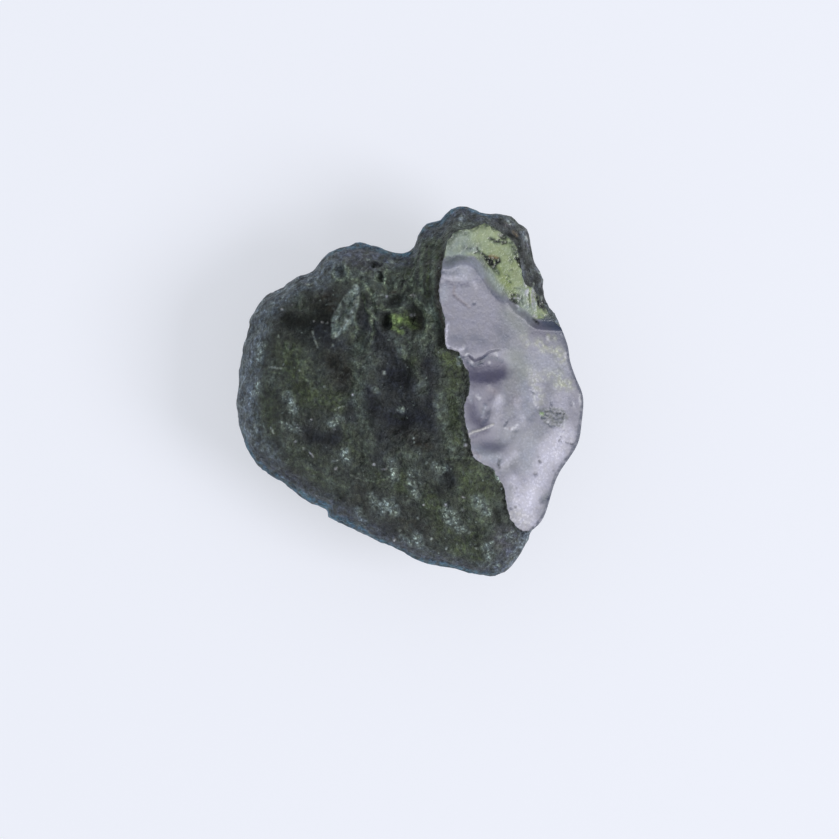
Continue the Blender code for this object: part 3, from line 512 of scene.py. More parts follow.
    ("white", 0.85, 0.06, 0.04, [(-4.23, -7.56)]),
    ("white", 0.8, 0.05, 0.04, [(0.79, -6.83)]),
    ("pale", 0.8, 0.07, 0.04, [(0.48, -7.62)]),
    ("white", 0.7, 0.07, 0.04, [(2.11, -6.83)]),
    ("white", 0.75, 0.05, 0.04, [(3.11, -6.37), (3.21, -6.37)]),
    ("pale", 0.7, 0.07, 0.04, [(1.28, -8.88)]),
    ("pale", 0.8, 0.07, 0.04, [(2.17, -9.39)]),
    ("pale", 0.75, 0.07, 0.04, [(3.93, -9.37)]),
    ("pale", 0.8, 0.07, 0.04, [(3.51, -8.42)]),
    ("pale", 0.7, 0.08, 0.04, [(4.53, -6.95)]),
    ("pale", 0.6, 0.07, 0.04, [(3.11, -7.05)]),
    ("pale", 0.75, 0.06, 0.04, [(-0.59, -8.36)]),
    ("white", 0.85, 0.08, 0.04, [(-0.93, -8.91)]),
    ("pale", 0.6, 0.07, 0.03, [(0.21, -2.85)]),
    ("white", 0.7, 0.05, 0.04, [(-4.56, -2.37)]),
    ("white", 0.7, 0.07, 0.03, [(-3.41, -0.25)]),
    ("pale", 0.5, 0.06, 0.03, [(-5.07, 0.21)]),
    ("pale", 0.5, 0.06, 0.03, [(-6.57, 1.17)]),
    ("white", 0.6, 0.05, 0.03, [(6.99, 9.18), (7.05, 9.03)]),
    ("pale", 0.7, 0.06, 0.03, [(-8.25, -2.19), (-8.13, -2.55)]),
    ("glow", 0.7, 0.08, 0.03, [(7.75, 4.59)]),
    ("white", 0.6, 0.06, 0.03, [(7.41, 4.29)]),
]

# Fine marks of the fresh glass, in the same form. Besides its cracks, bubbles and stains, most of
# them are painted light and shade: a sheen where the glass mirrors the light, darker tones where
# its slopes face away, glints, and light coming through thin glass.
GLASS_MARKS = [
    ("fog", 0.6, 0.66, 0, [(2.43, 7.35), (3.15, 6.99)]),
    ("sage", 0.7, 0.54, 0, [(5.91, 4.47), (6.75, 3.63)]),
    ("ash", 0.55, 0.6, 0, [(5.79, 3.03), (6.51, 2.07)]),
    ("sage", 0.75, 0.54, 0, [(6.27, 1.95), (6.75, 1.11), (6.15, 0.39)]),
    ("fog", 0.5, 0.72, 0, [(7.83, 1.71), (8.79, 1.11)]),
    ("slate", 0.95, 0.42, 0, [(8.13, 4.11), (8.79, 3.75)]),
    ("violet", 0.65, 0.42, 0, [(7.47, 3.57), (8.19, 3.27)]),
    ("slate", 0.85, 0.3, 0, [(8.61, 4.47), (9.15, 3.51), (9.39, 2.67)]),
    ("slate", 0.4, 0.42, 0, [(8.91, 2.91), (8.61, 3.03)]),
    ("violet", 0.9, 0.21, 0, [
        (3.39, 1.83), (3.87, 1.53), (4.23, 1.77), (4.65, 1.89), (5.19, 1.77), (5.55, 1.47),
        (5.49, 0.93), (5.07, 0.51), (4.35, 0.27), (3.75, 0.27), (3.51, 0.87), (3.39, 1.83)
    ]),
    ("violet", 0.4, 0.54, 0, [(4.59, 0.15), (5.67, 0.75)]),
    ("violet", 0.5, 0.48, 0, [(4.11, -0.15), (4.83, -0.21)]),
    ("slate", 0.8, 0.11, -0.01, [
        (3.21, 1.83), (3.75, 1.47), (4.17, 1.59), (4.47, 1.92), (4.83, 1.95), (5.43, 1.77)
    ]),
    ("violet", 0.85, 0.42, 0, [(3.63, -0.93), (3.69, -1.77), (4.23, -2.01)]),
    ("violet", 0.5, 0.24, 0, [(4.59, -0.69), (4.65, -1.41)]),
    ("ash", 0.5, 0.3, 0, [(5.73, -0.45), (5.91, -1.41)]),
    ("violet", 0.6, 0.6, -0.01, [(4.23, -2.97), (5.07, -3.09)]),
    ("ash", 0.8, 0.54, 0, [(5.79, -2.73), (6.87, -2.73), (7.83, -2.37)]),
    ("ash", 0.7, 0.48, 0, [(5.67, -4.53), (6.63, -3.93)]),
    ("fog", 0.6, 0.42, 0, [(7.23, -3.33), (6.99, -4.65)]),
    ("fog", 0.7, 0.3, 0, [(3.87, -3.63), (4.47, -3.93), (5.19, -3.99)]),
    ("fog", 0.55, 0.54, 0, [(6.63, 0.15), (7.11, -0.57), (6.87, -1.41)]),
    ("pearl", 0.5, 0.36, 0, [(7.41, 0.87), (7.59, -0.45)]),
    ("pearl", 0.35, 0.48, 0, [(9.03, -0.45), (8.79, -1.29)]),
    ("pearl", 0.9, 0.6, 0, [(9.15, -2.61), (8.67, -3.81)]),
    ("pearl", 0.8, 0.54, 0, [(8.25, -3.45), (7.83, -5.01)]),
    ("pearl", 1, 0.6, 0, [(7.41, -5.61), (6.99, -6.81), (6.87, -7.65)]),
    ("pearl", 0.7, 0.36, 0, [(6.21, -5.49), (6.27, -6.81)]),
    ("cream", 0.4, 0.36, 0, [(6.27, -7.41), (6.75, -7.89)]),
    ("pearl", 0.5, 0.24, 0.02, [(5.31, -0.45), (5.19, -1.17), (4.95, -1.77)]),
    ("pane", 0.9, 0.48, 0, [(2.43, 8.31), (2.79, 8.85), (3.39, 9.03)]),
    ("pane", 0.8, 0.3, 0, [(3.15, 8.19), (3.87, 8.43)]),
    ("veil", 0.7, 0.18, 0, [(2.31, 8.85), (2.67, 9.39), (3.27, 9.69), (3.87, 9.69)]),
    ("moss_glass", 0.6, 0.1, -0.02, [(3.21, 9.24), (3.45, 9.27)]),
    ("slate", 0.45, 0.14, 0, [(3.21, 8.49), (3.57, 8.4)]),
    ("ash", 0.6, 0.1, 0, [(2.07, 7.8), (2.55, 7.89), (3.15, 7.89)]),
    ("lime_pale", 0.8, 0.42, 0, [(3.99, 9.15), (4.95, 9.27)]),
    ("lime_pale", 0.5, 0.3, 0, [(4.71, 8.43), (5.73, 8.19)]),
    ("lime_deep", 0.8, 0.24, 0, [(5.37, 7.11), (5.79, 6.39)]),
    ("lime_deep", 0.5, 0.24, 0, [(6.15, 5.97), (5.67, 6.09)]),
    ("lime_pale", 0.6, 0.21, 0, [(6.39, 7.11), (6.33, 6.15)]),
    ("sage", 0.9, 0.26, 0, [(4.23, 7.71), (4.59, 6.87), (5.01, 6.21), (5.61, 5.67)]),
    ("pane", 0.7, 0.18, 0.01, [(4.65, 6.99), (5.01, 6.51), (5.37, 6.03)]),
    ("rough", 0.9, 0.18, -0.02, [(5.25, 9.69), (5.67, 9.27), (6.15, 8.97), (6.45, 8.61)]),
    ("moss_glass", 0.6, 0.18, 0, [(3.75, 9.63), (4.35, 9.81), (4.95, 9.75)]),
    ("moss_glass", 0.6, 0.18, 0, [(5.73, 9.03), (6.21, 8.43), (6.27, 8.07)]),
    ("moss_glass", 0.35, 0.16, 0, [(2.31, 8.43), (2.49, 9.03), (3.03, 9.45)]),
    ("crack", 0.7, 0.06, -0.03, [(5.37, 9.45), (5.55, 9.21), (5.37, 9.09)]),
    ("moss_glass", 0.7, 0.13, 0, [(4.77, 8.97), (5.19, 8.79), (5.67, 8.91)]),
    ("crack", 0.95, 0.05, -0.04, [
        (4.71, 9.01), (4.92, 8.91), (5.13, 8.87), (5.43, 8.97), (5.67, 9.05)
    ]),
    ("crack", 0.8, 0.05, -0.03, [(5.04, 8.8), (5.37, 8.79), (5.73, 8.81)]),
    ("moss_glass", 0.9, 0.08, -0.02, [(4.86, 9.69), (5.01, 9.51), (5.19, 9.63)]),
    ("crack", 0.7, 0.06, -0.03, [(5.25, 9.24), (5.43, 9.09), (5.61, 9.21)]),
    ("crack", 0.8, 0.05, -0.03, [(5.49, 8.67), (5.73, 8.73)]),
    ("crack", 0.8, 0.05, -0.03, [(3.96, 8.46), (4.05, 8.25), (3.87, 8.13)]),
    ("moss_glass", 0.9, 0.12, 0, [(4.17, 8.19), (4.59, 7.77), (4.89, 7.35), (5.07, 7.11)]),
    ("crack", 1, 0.05, -0.05, [
        (4.29, 8.1), (4.59, 7.95), (4.89, 7.89), (5.31, 7.83), (5.37, 7.65), (5.13, 7.47),
        (5.01, 7.26), (4.77, 7.38), (4.56, 7.65), (4.29, 8.1)
    ]),
    ("moss_glass", 0.6, 0.13, -0.02, [(5.07, 7.23), (5.25, 6.93)]),
    ("amber", 0.5, 0.1, 0, [(4.77, 7.95), (5.19, 7.89)]),
    ("moss_glass", 0.9, 0.18, 0, [(6.27, 8.19), (6.63, 7.71), (6.87, 7.23)]),
    ("crack", 0.95, 0.07, -0.04, [
        (6.36, 7.83), (6.63, 7.86), (7.05, 7.71), (7.02, 7.35), (6.69, 7.26), (6.45, 7.47),
        (6.36, 7.83)
    ]),
    ("crack", 0.9, 0.07, -0.03, [(6.27, 7.83), (6.57, 7.77)]),
    ("crack", 0.8, 0.1, -0.03, [(6.45, 8.31), (6.57, 7.95)]),
    ("moss_glass", 0.5, 0.12, -0.02, [(6, 7.77), (6.02, 7.62)]),
    ("moss_glass", 0.7, 0.05, -0.02, [(5.64, 6.9), (5.88, 6.72)]),
    ("moss_glass", 0.6, 0.05, -0.02, [(5.73, 6.6), (5.97, 6.39)]),
    ("moss_glass", 0.55, 0.05, -0.02, [(5.91, 7.11), (6.09, 7.17)]),
    ("moss_glass", 0.5, 0.05, -0.02, [(6.21, 6.09), (6.51, 6.03)]),
    ("moss_glass", 0.5, 0.05, -0.02, [(5.85, 5.79), (6.09, 5.91)]),
    ("moss_glass", 0.9, 0.14, 0, [(6.09, 5.43), (6.51, 5.43)]),
    ("crack", 0.95, 0.08, -0.05, [(6.06, 5.65), (6.33, 5.69), (6.58, 5.57), (6.57, 5.37)]),
    ("crack", 0.95, 0.1, -0.05, [(6.03, 5.43), (6.24, 5.21), (6.51, 5.19)]),
    ("white", 0.8, 0.05, 0.01, [(6.18, 5.47), (6.45, 5.49)]),
    ("pane", 0.9, 0.1, 0.02, [(6.8, 7.17), (6.83, 6.27)]),
    ("white", 0.8, 0.05, 0.01, [(6.8, 7.17), (6.86, 6.21)]),
    ("crack", 0.8, 0.08, -0.03, [(7.08, 6.69), (7.17, 6.21)]),
    ("white", 0.7, 0.05, 0.01, [(7.04, 6.03), (6.94, 5.61)]),
    ("crack", 0.7, 0.04, -0.02, [(7.25, 5.91), (7.28, 5.07)]),
    ("white", 0.8, 0.05, 0.01, [(7.39, 6.27), (7.37, 5.43), (7.47, 4.77)]),
    ("crack", 0.8, 0.05, -0.02, [(7.52, 5.67), (7.62, 5.07)]),
    ("white", 0.6, 0.04, 0.01, [(6.89, 5.49), (6.99, 4.89)]),
    ("pane", 0.8, 0.24, 0, [(6.69, 5.91), (6.75, 5.19), (7.23, 4.59)]),
    ("white", 0.8, 0.09, 0.01, [(6.96, 5.94), (6.9, 5.7)]),
    ("rough", 0.9, 0.2, -0.01, [(7.05, 6.87), (7.17, 6.33)]),
    ("crack", 0.7, 0.11, -0.03, [(7.05, 6.69), (7.14, 6.27)]),
    ("rough", 0.8, 0.24, -0.01, [(7.59, 5.91), (7.89, 4.95)]),
    ("white", 0.7, 0.05, 0.01, [(7.32, 6.27), (7.26, 5.55), (7.32, 4.83)]),
    ("crack", 0.6, 0.05, -0.02, [(7.07, 5.79), (7.1, 5.01)]),
    ("moss_glass", 0.5, 0.05, -0.02, [(6.66, 5.55), (6.69, 5.07)]),
    ("crack", 0.85, 0.09, -0.03, [(7.56, 5.49), (7.68, 5.13), (7.92, 4.89)]),
    ("crack", 0.8, 0.1, -0.03, [(7.89, 5.67), (8.07, 5.07)]),
    ("pane", 0.8, 0.07, 0.02, [(7.47, 5.19), (7.41, 4.77)]),
    ("lime_pale", 0.9, 0.1, 0.02, [(7.77, 4.68), (7.95, 4.53)]),
    ("lime_deep", 0.7, 0.07, 0, [(7.71, 4.35), (7.89, 4.35)]),
    ("white", 0.85, 0.07, 0.01, [(7.38, 4.44), (7.47, 4.38)]),
    ("white", 0.7, 0.06, 0.01, [(6.33, 5.06), (6.42, 4.98)]),
    ("pane", 0.8, 0.08, 0.01, [(6.42, 4.83), (6.69, 4.74)]),
    ("crack", 1, 0.08, -0.05, [(7.32, 4.2), (7.62, 3.96)]),
    ("slate", 0.4, 0.16, 0, [(3.87, 7.11), (4.17, 6.39), (4.65, 5.91), (5.19, 5.49), (5.85, 5.19)]),
    ("fog", 0.7, 0.18, 0, [(3.63, 7.71), (4.05, 7.35), (4.35, 6.81)]),
    ("ash", 0.5, 0.18, 0, [(6.15, 4.89), (6.69, 4.53), (7.23, 4.23)]),
    ("slate", 0.45, 0.11, -0.01, [(1.89, 6.99), (2.37, 6.93), (2.85, 7.08)]),
    ("slate", 0.35, 0.1, -0.01, [(1.89, 6.63), (2.25, 6.45)]),
    ("violet", 0.55, 0.16, -0.01, [(2.25, 6.3), (2.79, 6.27), (3.39, 6.3)]),
    ("pearl", 0.3, 0.14, 0.01, [(2.07, 6.66), (2.67, 6.6), (3.27, 6.69)]),
    ("pearl", 0.35, 0.1, 0.02, [(3.81, 6.39), (3.93, 6.09)]),
    ("fog", 0.6, 0.24, 0, [(2.01, 6.03), (1.95, 5.43)]),
    ("warm", 0.6, 0.07, -0.01, [(2.64, 6.09), (2.58, 5.7), (2.94, 5.34), (3.54, 4.89)]),
    ("violet", 0.35, 0.06, -0.01, [(2.61, 5.61), (2.97, 5.31), (3.27, 5.07)]),
    ("slate", 0.6, 0.07, -0.03, [(3.75, 5.1), (3.84, 5.16)]),
    ("slate", 0.3, 0.07, -0.02, [(3.74, 4.05)]),
    ("slate", 0.45, 0.24, -0.01, [(2.61, 3.09), (3.09, 3.03)]),
    ("slate", 0.4, 0.24, -0.01, [(3.75, 3.15), (4.35, 2.91)]),
    ("slate", 0.25, 0.24, 0, [(5.19, 3.63), (5.79, 3.15)]),
    ("pearl", 0.95, 0.1, 0.03, [(2.22, 3.93), (2.16, 3.45), (2.1, 2.97), (2.22, 2.55)]),
    ("pearl", 0.5, 0.12, 0.02, [(2.43, 2.43), (2.91, 2.43), (3.15, 2.49)]),
    ("white", 0.6, 0.07, 0.01, [(3.21, 2.64), (3.15, 2.46)]),
    ("slate", 0.45, 0.07, 0, [(3.24, 2.31), (3.39, 2.43)]),
    ("white", 0.65, 0.08, 0.01, [(3.3, 2.04), (3.42, 2.13)]),
    ("white", 0.6, 0.09, 0.01, [(3.68, 1.65)]),
    ("white", 0.6, 0.07, 0.01, [(4.7, 1.65)]),
    ("white", 0.5, 0.09, 0.01, [(5.1, 2.19), (5.19, 2.07)]),
    ("crack", 0.35, 0.1, -0.02, [(4.17, 1.68), (4.35, 1.77)]),
    ("ash", 0.5, 0.09, 0.01, [(4.71, 0.27), (4.77, 0.15)]),
    ("warm", 0.4, 0.18, 0, [(4.71, 0.09), (5.07, -0.09)]),
    ("white", 0.65, 0.08, 0.01, [(3.99, -0.3), (4.14, -0.48)]),
    ("fog", 0.5, 0.09, 0.03, [(4.47, -0.93), (4.32, -1.53)]),
    ("fog", 0.35, 0.09, 0.02, [(3.57, -0.39), (3.63, -0.69)]),
    ("slate", 0.45, 0.1, -0.02, [(4.68, -1.17), (4.59, -1.65), (4.29, -2.01)]),
    ("violet", 0.7, 0.12, 0, [(3.66, -2.79), (3.99, -2.64), (4.59, -2.43)]),
    ("cream", 0.8, 0.07, 0.03, [
        (3.51, -2.61), (3.75, -2.46), (4.23, -2.37), (4.53, -2.22), (4.95, -2.04)
    ]),
    ("fog", 0.5, 0.08, 0.01, [(3.3, -2.13), (3.39, -2.25)]),
    ("slate", 0.25, 0.3, 0, [(4.35, -3.33), (5.31, -3.33)]),
    ("pearl", 0.5, 0.18, 0.02, [(5.79, -4.05), (6.27, -3.72)]),
    ("pearl", 0.4, 0.18, 0.02, [(5.43, -4.53), (5.91, -4.23)]),
    ("crack", 0.55, 0.06, -0.04, [(5.34, -4.11), (5.24, -4.35), (5.31, -4.59)]),
    ("warm", 0.5, 0.14, 0, [(3.81, -3.69), (4.11, -3.93)]),
    ("white", 0.85, 0.08, 0.01, [(6.06, -2.31), (6.39, -2.07)]),
    ("white", 0.4, 0.07, 0.01, [(5.61, -2.21), (5.79, -2.28)]),
    ("warm", 0.6, 0.06, 0, [(5.88, -2.25), (5.94, -2.31)]),
    ("slate", 0.45, 0.07, -0.03, [(5.58, -2.1), (5.79, -1.77)]),
    ("slate", 0.4, 0.07, -0.02, [(6.12, -2.46), (6.39, -2.4)]),
    ("ash", 0.4, 0.18, 0, [(5.73, -1.65), (6.15, -1.17)]),
    ("pearl", 0.3, 0.18, 0.02, [(6.39, -0.51), (6.51, -1.29), (6.99, -2.01)]),
    ("ash", 0.4, 0.18, 0, [(7.41, -1.17), (7.11, -1.77)]),
    ("ash", 0.4, 0.24, 0, [(8.37, 0.39), (8.31, -0.51)]),
    ("white", 0.6, 0.08, 0.01, [(7.41, -0.33), (7.43, -0.69), (7.63, -0.99)]),
    ("white", 0.3, 0.08, 0.01, [(7.53, 0.51), (7.44, 0.09)]),
    ("slate", 0.5, 0.07, -0.03, [(7.29, -0.06), (7.41, -0.15)]),
    ("warm", 0.3, 0.36, 0, [(6.15, 0.39), (6.27, -0.57)]),
    ("slate", 0.85, 0.2, -0.02, [(7.89, -6.51), (8.25, -6.27), (8.49, -5.97)]),
    ("moss_glass", 0.25, 0.15, -0.02, [(8.01, -6.45), (8.19, -6.33)]),
    ("ash", 0.7, 0.2, 0, [(8.19, -6.75), (7.89, -7.41)]),
    ("slate", 0.7, 0.14, 0, [(10.05, -2.25), (10.05, -2.97), (9.69, -3.51)]),
    ("slate", 0.6, 0.13, 0, [(9.33, -4.11), (9.03, -4.53)]),
    ("slate", 0.6, 0.1, 0, [(8.73, -5.01), (8.64, -5.73)]),
    ("ash", 0.5, 0.18, 0, [(5.97, -5.79), (5.91, -6.81)]),
    ("cream", 0.5, 0.12, 0.01, [(6.03, -7.29), (6.09, -7.71)]),
    ("crack", 0.5, 0.07, -0.05, [(7.69, -4.21), (7.74, -4.29)]),
    ("crack", 0.6, 0.11, -0.06, [(7.47, -4.97)]),
    ("crack", 0.35, 0.05, -0.04, [(6.37, -5.79)]),
    ("crack", 0.35, 0.05, -0.04, [(6.25, -6.09)]),
    ("crack", 0.25, 0.05, -0.04, [(6.68, -6.09)]),
    ("crack", 0.5, 0.07, -0.05, [(6.31, -6.93)]),
    ("crack", 0.5, 0.07, -0.05, [(6.01, -7.03)]),
    ("crack", 0.5, 0.05, -0.04, [(9.01, -2.76)]),
    ("crack", 0.45, 0.05, -0.04, [(9.03, -3.06)]),
    ("crack", 0.45, 0.05, -0.04, [(9.19, -2.37)]),
    ("crack", 0.3, 0.05, -0.03, [(8.57, -4.76)]),
    ("crack", 0.3, 0.05, -0.03, [(7.65, -3.93)]),
    ("crack", 0.25, 0.05, -0.03, [(6.45, -6.27)]),
    ("crack", 0.25, 0.05, -0.03, [(6.51, -6.81)]),
    ("crack", 0.4, 0.05, -0.03, [(8.85, -3.03), (8.97, -2.91)]),
    ("crack", 0.5, 0.05, -0.03, [(9.33, -3.09), (9.69, -3.21)]),
    ("moss_glass", 0.45, 0.13, -0.01, [
        (7.77, -1.23), (8.31, -1.11), (9.03, -1.23), (9.33, -1.65), (9.03, -2.07), (8.37, -2.01),
        (7.89, -1.59), (7.77, -1.23)
    ]),
    ("slate", 0.5, 0.18, -0.01, [(8.79, -1.41), (8.85, -1.77)]),
    ("crack", 0.45, 0.04, -0.02, [(7.89, -1.2), (8.13, -1.26), (8.37, -1.23)]),
    ("crack", 0.5, 0.05, -0.02, [(8.55, -1.26), (8.79, -1.38), (9, -1.32)]),
    ("slate", 0.6, 0.07, -0.02, [(8.45, -0.75), (8.4, -0.99), (8.43, -1.23)]),
    ("crack", 0.5, 0.05, -0.03, [(9.18, -1.41), (9.06, -1.71)]),
    ("slate", 0.6, 0.06, -0.02, [(8.25, -2.01), (8.43, -2.16), (8.61, -2.13)]),
    ("slate", 0.6, 0.05, -0.02, [(7.89, -1.62), (8.19, -1.66)]),
    ("slate", 0.5, 0.06, -0.02, [(8.61, -1.62), (8.79, -1.71)]),
    ("slate", 0.5, 0.05, -0.02, [(8.07, -1.44), (8.25, -1.47)]),
    ("leaf", 0.85, 0.09, 0.02, [(7.81, -1.4), (7.92, -1.4)]),
    ("white", 0.55, 0.07, 0.01, [(8.22, -1.89), (8.28, -1.74)]),
    ("white", 0.5, 0.07, 0.01, [(9.27, -1.77), (9.15, -2.25)]),
    ("white", 0.45, 0.07, 0.01, [(8.91, -2.55), (9.15, -2.61)]),
    ("straw", 0.42, 0.27, 0.01, [(7.71, 2.85), (8.07, 2.49)]),
    ("straw", 0.47, 0.3, 0.01, [(8.73, 2.37), (9.09, 1.89)]),
    ("straw", 0.3, 0.21, 0.01, [(6.75, 3.21), (6.99, 2.79)]),
    ("straw", 0.25, 0.18, 0.01, [(8.19, 3.27), (8.61, 3.09)]),
    ("straw", 0.47, 0.3, 0.01, [(8.79, 0.45), (9.51, 0.27)]),
    ("straw", 0.25, 0.3, 0, [(7.95, 0.87), (8.91, 0.99)]),
    ("straw", 0.25, 0.3, 0, [(7.83, -0.57), (7.23, 1.11)]),
    ("slate", 0.35, 0.1, -0.01, [(8.19, 2.25), (8.73, 2.01)]),
    ("slate", 0.35, 0.08, -0.01, [(8.79, 1.47), (9.03, 1.23)]),
    ("slate", 0.4, 0.09, -0.01, [(9.51, 0.99), (9.69, 0.75)]),
    ("slate", 0.4, 0.08, -0.01, [(9.51, -0.45), (9.63, -0.87)]),
    ("slate", 0.85, 0.14, 0, [(9.27, 3.45), (9.51, 2.61), (9.57, 1.77)]),
    ("slate", 0.6, 0.11, 0, [(9.81, 0.99), (10.05, 0.51)]),
    ("slate", 0.85, 0.16, 0, [(10.05, 0.33), (10.23, 0.03)]),
    ("ash", 0.6, 0.14, 0, [(10.35, -0.69), (10.17, -1.77)]),
    ("white", 0.85, 0.07, 0.01, [(9.09, 3.36)]),
    ("white", 0.9, 0.08, 0.01, [(9.31, 2.25), (9.29, 2.01)]),
    ("white", 0.9, 0.08, 0.01, [(10.15, -0.27), (10.2, -0.63)]),
    ("white", 0.5, 0.07, 0.01, [(9.75, -0.69), (9.81, -0.99)]),
    ("white", 0.5, 0.06, 0.01, [(9.45, 2.79)]),
    ("white", 0.5, 0.07, 0.01, [(10.23, -0.87)]),
    ("white", 0.4, 0.07, 0.01, [(9.69, -2.49), (9.63, -2.97)]),
    ("white", 0.5, 0.07, 0.01, [(8.19, 3.21), (8.25, 2.97)]),
]

# Painted light and shade round the outer rim, bluish reflections on the skin and a dark refracting
# edge on the fracture: kind, first and last direction, width and strength.
SKIN_RIM_LIGHT = [
    ("dusk", 60, 330, 0.9, 0.6),
    ("haze", 112, 205, 1.3, 0.6),
    ("haze", 140, 200, 0.6, 0.7),
    ("teal", 60, 125, 0.22, 0.8),
    ("teal", 188, 300, 0.3, 0.95),
    ("haze", 296, 318, 0.5, 0.8),
]
GLASS_RIM_SHADE = [("rim", -62, 34, 0.17, 0.9)]

# Half widths up to which a mark is fine enough to need a finer grid, and how far round it.
FINE_MARK = 0.17
FINE_MARGIN = 0.08
EDGE_MARGIN = 0.12

# Half width from which a mark is broad, and the reach and size of the noise that bends the
# broad marks and the others, on skin and on glass.
BROAD_MARK = 0.27
SKIN_BENDS = ((0.3, 0.9), (0.05, 0.28))
GLASS_BENDS = ((0.14, 0.8), (0.03, 0.3))

# Kinds of mark that crumble into grains, how strongly noise breaks them up, its size, and the
# least and the greatest gain that it gives.
CRUMBLY = ("veil", "moss", "frost", "haze", "dusk", "mauve", "earth", "rough", "straw", "cream",
           "moss_glass")
BREAK_UP = 1.7
BREAK_SIZE = 0.22
BREAK_LIMITS = (0.1, 1.6)
FINE_BREAK_UP = 1.3
FINE_BREAK_SIZE = 0.13

# Reach and size of the noise that makes the borders of the fracture and of the shelf ragged.
EDGE_RAG = (0.07, 0.22)
SHELF_RAG = (0.16, 0.45)


def closed_curve(points, steps):
    """A smooth closed curve through the points, as an array of points."""
    ring = np.array(points)
    before, after, further = (np.roll(ring, shift, axis=0) for shift in (1, -1, -2))
    rows = []
    for t in np.arange(steps) / steps:
        rows.append(
            0.5 * (2 * ring + (after - before) * t
                   + (2 * before - 5 * ring + 4 * after - further) * t ** 2
                   + (3 * ring - before - 3 * after + further) * t ** 3)
        )
    return np.stack(rows, axis=1).reshape(-1, 2)


def nearest(at, path, closed):
    """Distance from each place to a path, the nearest point on it, and whether it is inside."""
    start = path if closed else path[:-1]
    step = (np.roll(path, -1, axis=0) if closed else path[1:]) - start
    best = np.full(len(at), np.inf)
    foot = np.zeros((len(at), 2))
    inside = np.zeros(len(at), bool)
    for a, d in zip(start, step):
        t = np.clip(((at - a) @ d) / (d @ d), 0, 1)
        q = a + t[:, None] * d
        gap = np.hypot(*(at - q).T)
        closer = gap < best
        best[closer] = gap[closer]
        foot[closer] = q[closer]
        if d[1] != 0:
            crossed = (a[1] > at[:, 1]) != (a[1] + d[1] > at[:, 1])
            inside ^= crossed & (at[:, 0] < a[0] + d[0] * (at[:, 1] - a[1]) / d[1])
    return best, foot, inside


def depth_inside(at, loop):
    """How far each place is inside a closed curve, negative outside, and its nearest edge."""
    gap, foot, inside = nearest(at, loop, True)
    return np.where(inside, gap, -gap), foot


def smooth(value):
    """A step from 0 to 1 that starts and ends gently."""
    t = np.clip(value, 0, 1)
    return t * t * (3 - 2 * t)


def bowls(at, shapes, power):
    """Summed depth of oval bowls; a low power gives them a sharp rim."""
    total = np.zeros(len(at))
    for x, y, along, across, turn, depth in shapes:
        c, s = math.cos(math.radians(turn)), math.sin(math.radians(turn))
        u = ((at[:, 0] - x) * c + (at[:, 1] - y) * s) / along
        v = ((at[:, 1] - y) * c - (at[:, 0] - x) * s) / across
        total += depth * np.clip(1 - u * u - v * v, 0, None) ** power
    return total


def furrows(at, shapes):
    """Summed depth of furrows that follow paths."""
    total = np.zeros(len(at))
    for path, width, depth in shapes:
        gap = nearest(at, np.array(path), False)[0]
        total += depth * np.exp(-((gap / width) ** 2))
    return total


def softened(ring):
    """A ring of values, each averaged with its neighbours round the ring."""
    weight = np.hanning(SOFTENING)
    padded = np.concatenate([ring[-SOFTENING:], ring, ring[:SOFTENING]])
    return np.convolve(padded, weight / weight.sum(), "same")[SOFTENING:-SOFTENING]


class Outline:
    """The outline as a radius for each direction from its middle."""

    def __init__(self):
        curve = closed_curve(OUTLINE, 8) - OUTLINE_CENTRE
        angle = np.arctan2(curve[:, 1], curve[:, 0])
        order = np.argsort(angle)
        self.angle = np.linspace(-math.pi, math.pi, DIRECTIONS, endpoint=False)
        self.radius = np.interp(
            self.angle, angle[order], np.hypot(*curve.T)[order], period=2 * math.pi
        )
        self.girdle_angle = np.radians([a for a, _ in GIRDLE])
        self.girdle_height = np.array([h for _, h in GIRDLE])

    def reach(self, angle):
        return np.interp(angle, self.angle, self.radius, period=2 * math.pi)

    def soft_reach(self, angle):
        """The outline without its small bays and lips, as the belly has it."""
        return np.interp(angle, self.angle, softened(self.radius), period=2 * math.pi)

    def girdle(self, angle):
        """The girdle's height, eased between its named directions."""
        near = np.interp(angle, self.girdle_angle, self.girdle_height, period=2 * math.pi)
        sides = [
            np.interp(angle + turn, self.girdle_angle, self.girdle_height, period=2 * math.pi)
            for turn in (-GIRDLE_EASE, GIRDLE_EASE)
        ]
        return (2 * near + sides[0] + sides[1]) / 4

    def polar(self, at):
        """Direction and share of the way out to the outline."""
        x, y = (at - OUTLINE_CENTRE).T
        angle = np.arctan2(y, x)
        return angle, np.minimum(np.hypot(x, y) / self.reach(angle), 1)


def lobe_step(at):
    """One above the scalloped line of the upper lobe, nought below it."""
    line = np.array(LOBE_EDGE)
    edge_y = np.interp(at[:, 0], line[:, 0], line[:, 1])
    fade = smooth((line[-1, 0] - at[:, 0]) / LOBE_FADE)
    return smooth((at[:, 1] - edge_y) / LOBE_SLOPE) * fade


def waves(at):
    """Low concentric waves, each on its own arc."""
    total = np.zeros(len(at))
    for (x, y), radius, spacing, count, width, height, first, last in WAVES:
        dx, dy = at[:, 0] - x, at[:, 1] - y
        gap = np.hypot(dx, dy)
        turn = np.degrees(np.arctan2(dy, dx))
        turn = first + (turn - first) % 360
        on_arc = smooth((turn - first) / WAVE_FADE) * smooth((last - turn) / WAVE_FADE)
        for i in range(count):
            total += height * on_arc * np.exp(-(((gap - radius - i * spacing) / width) ** 2))
    return total


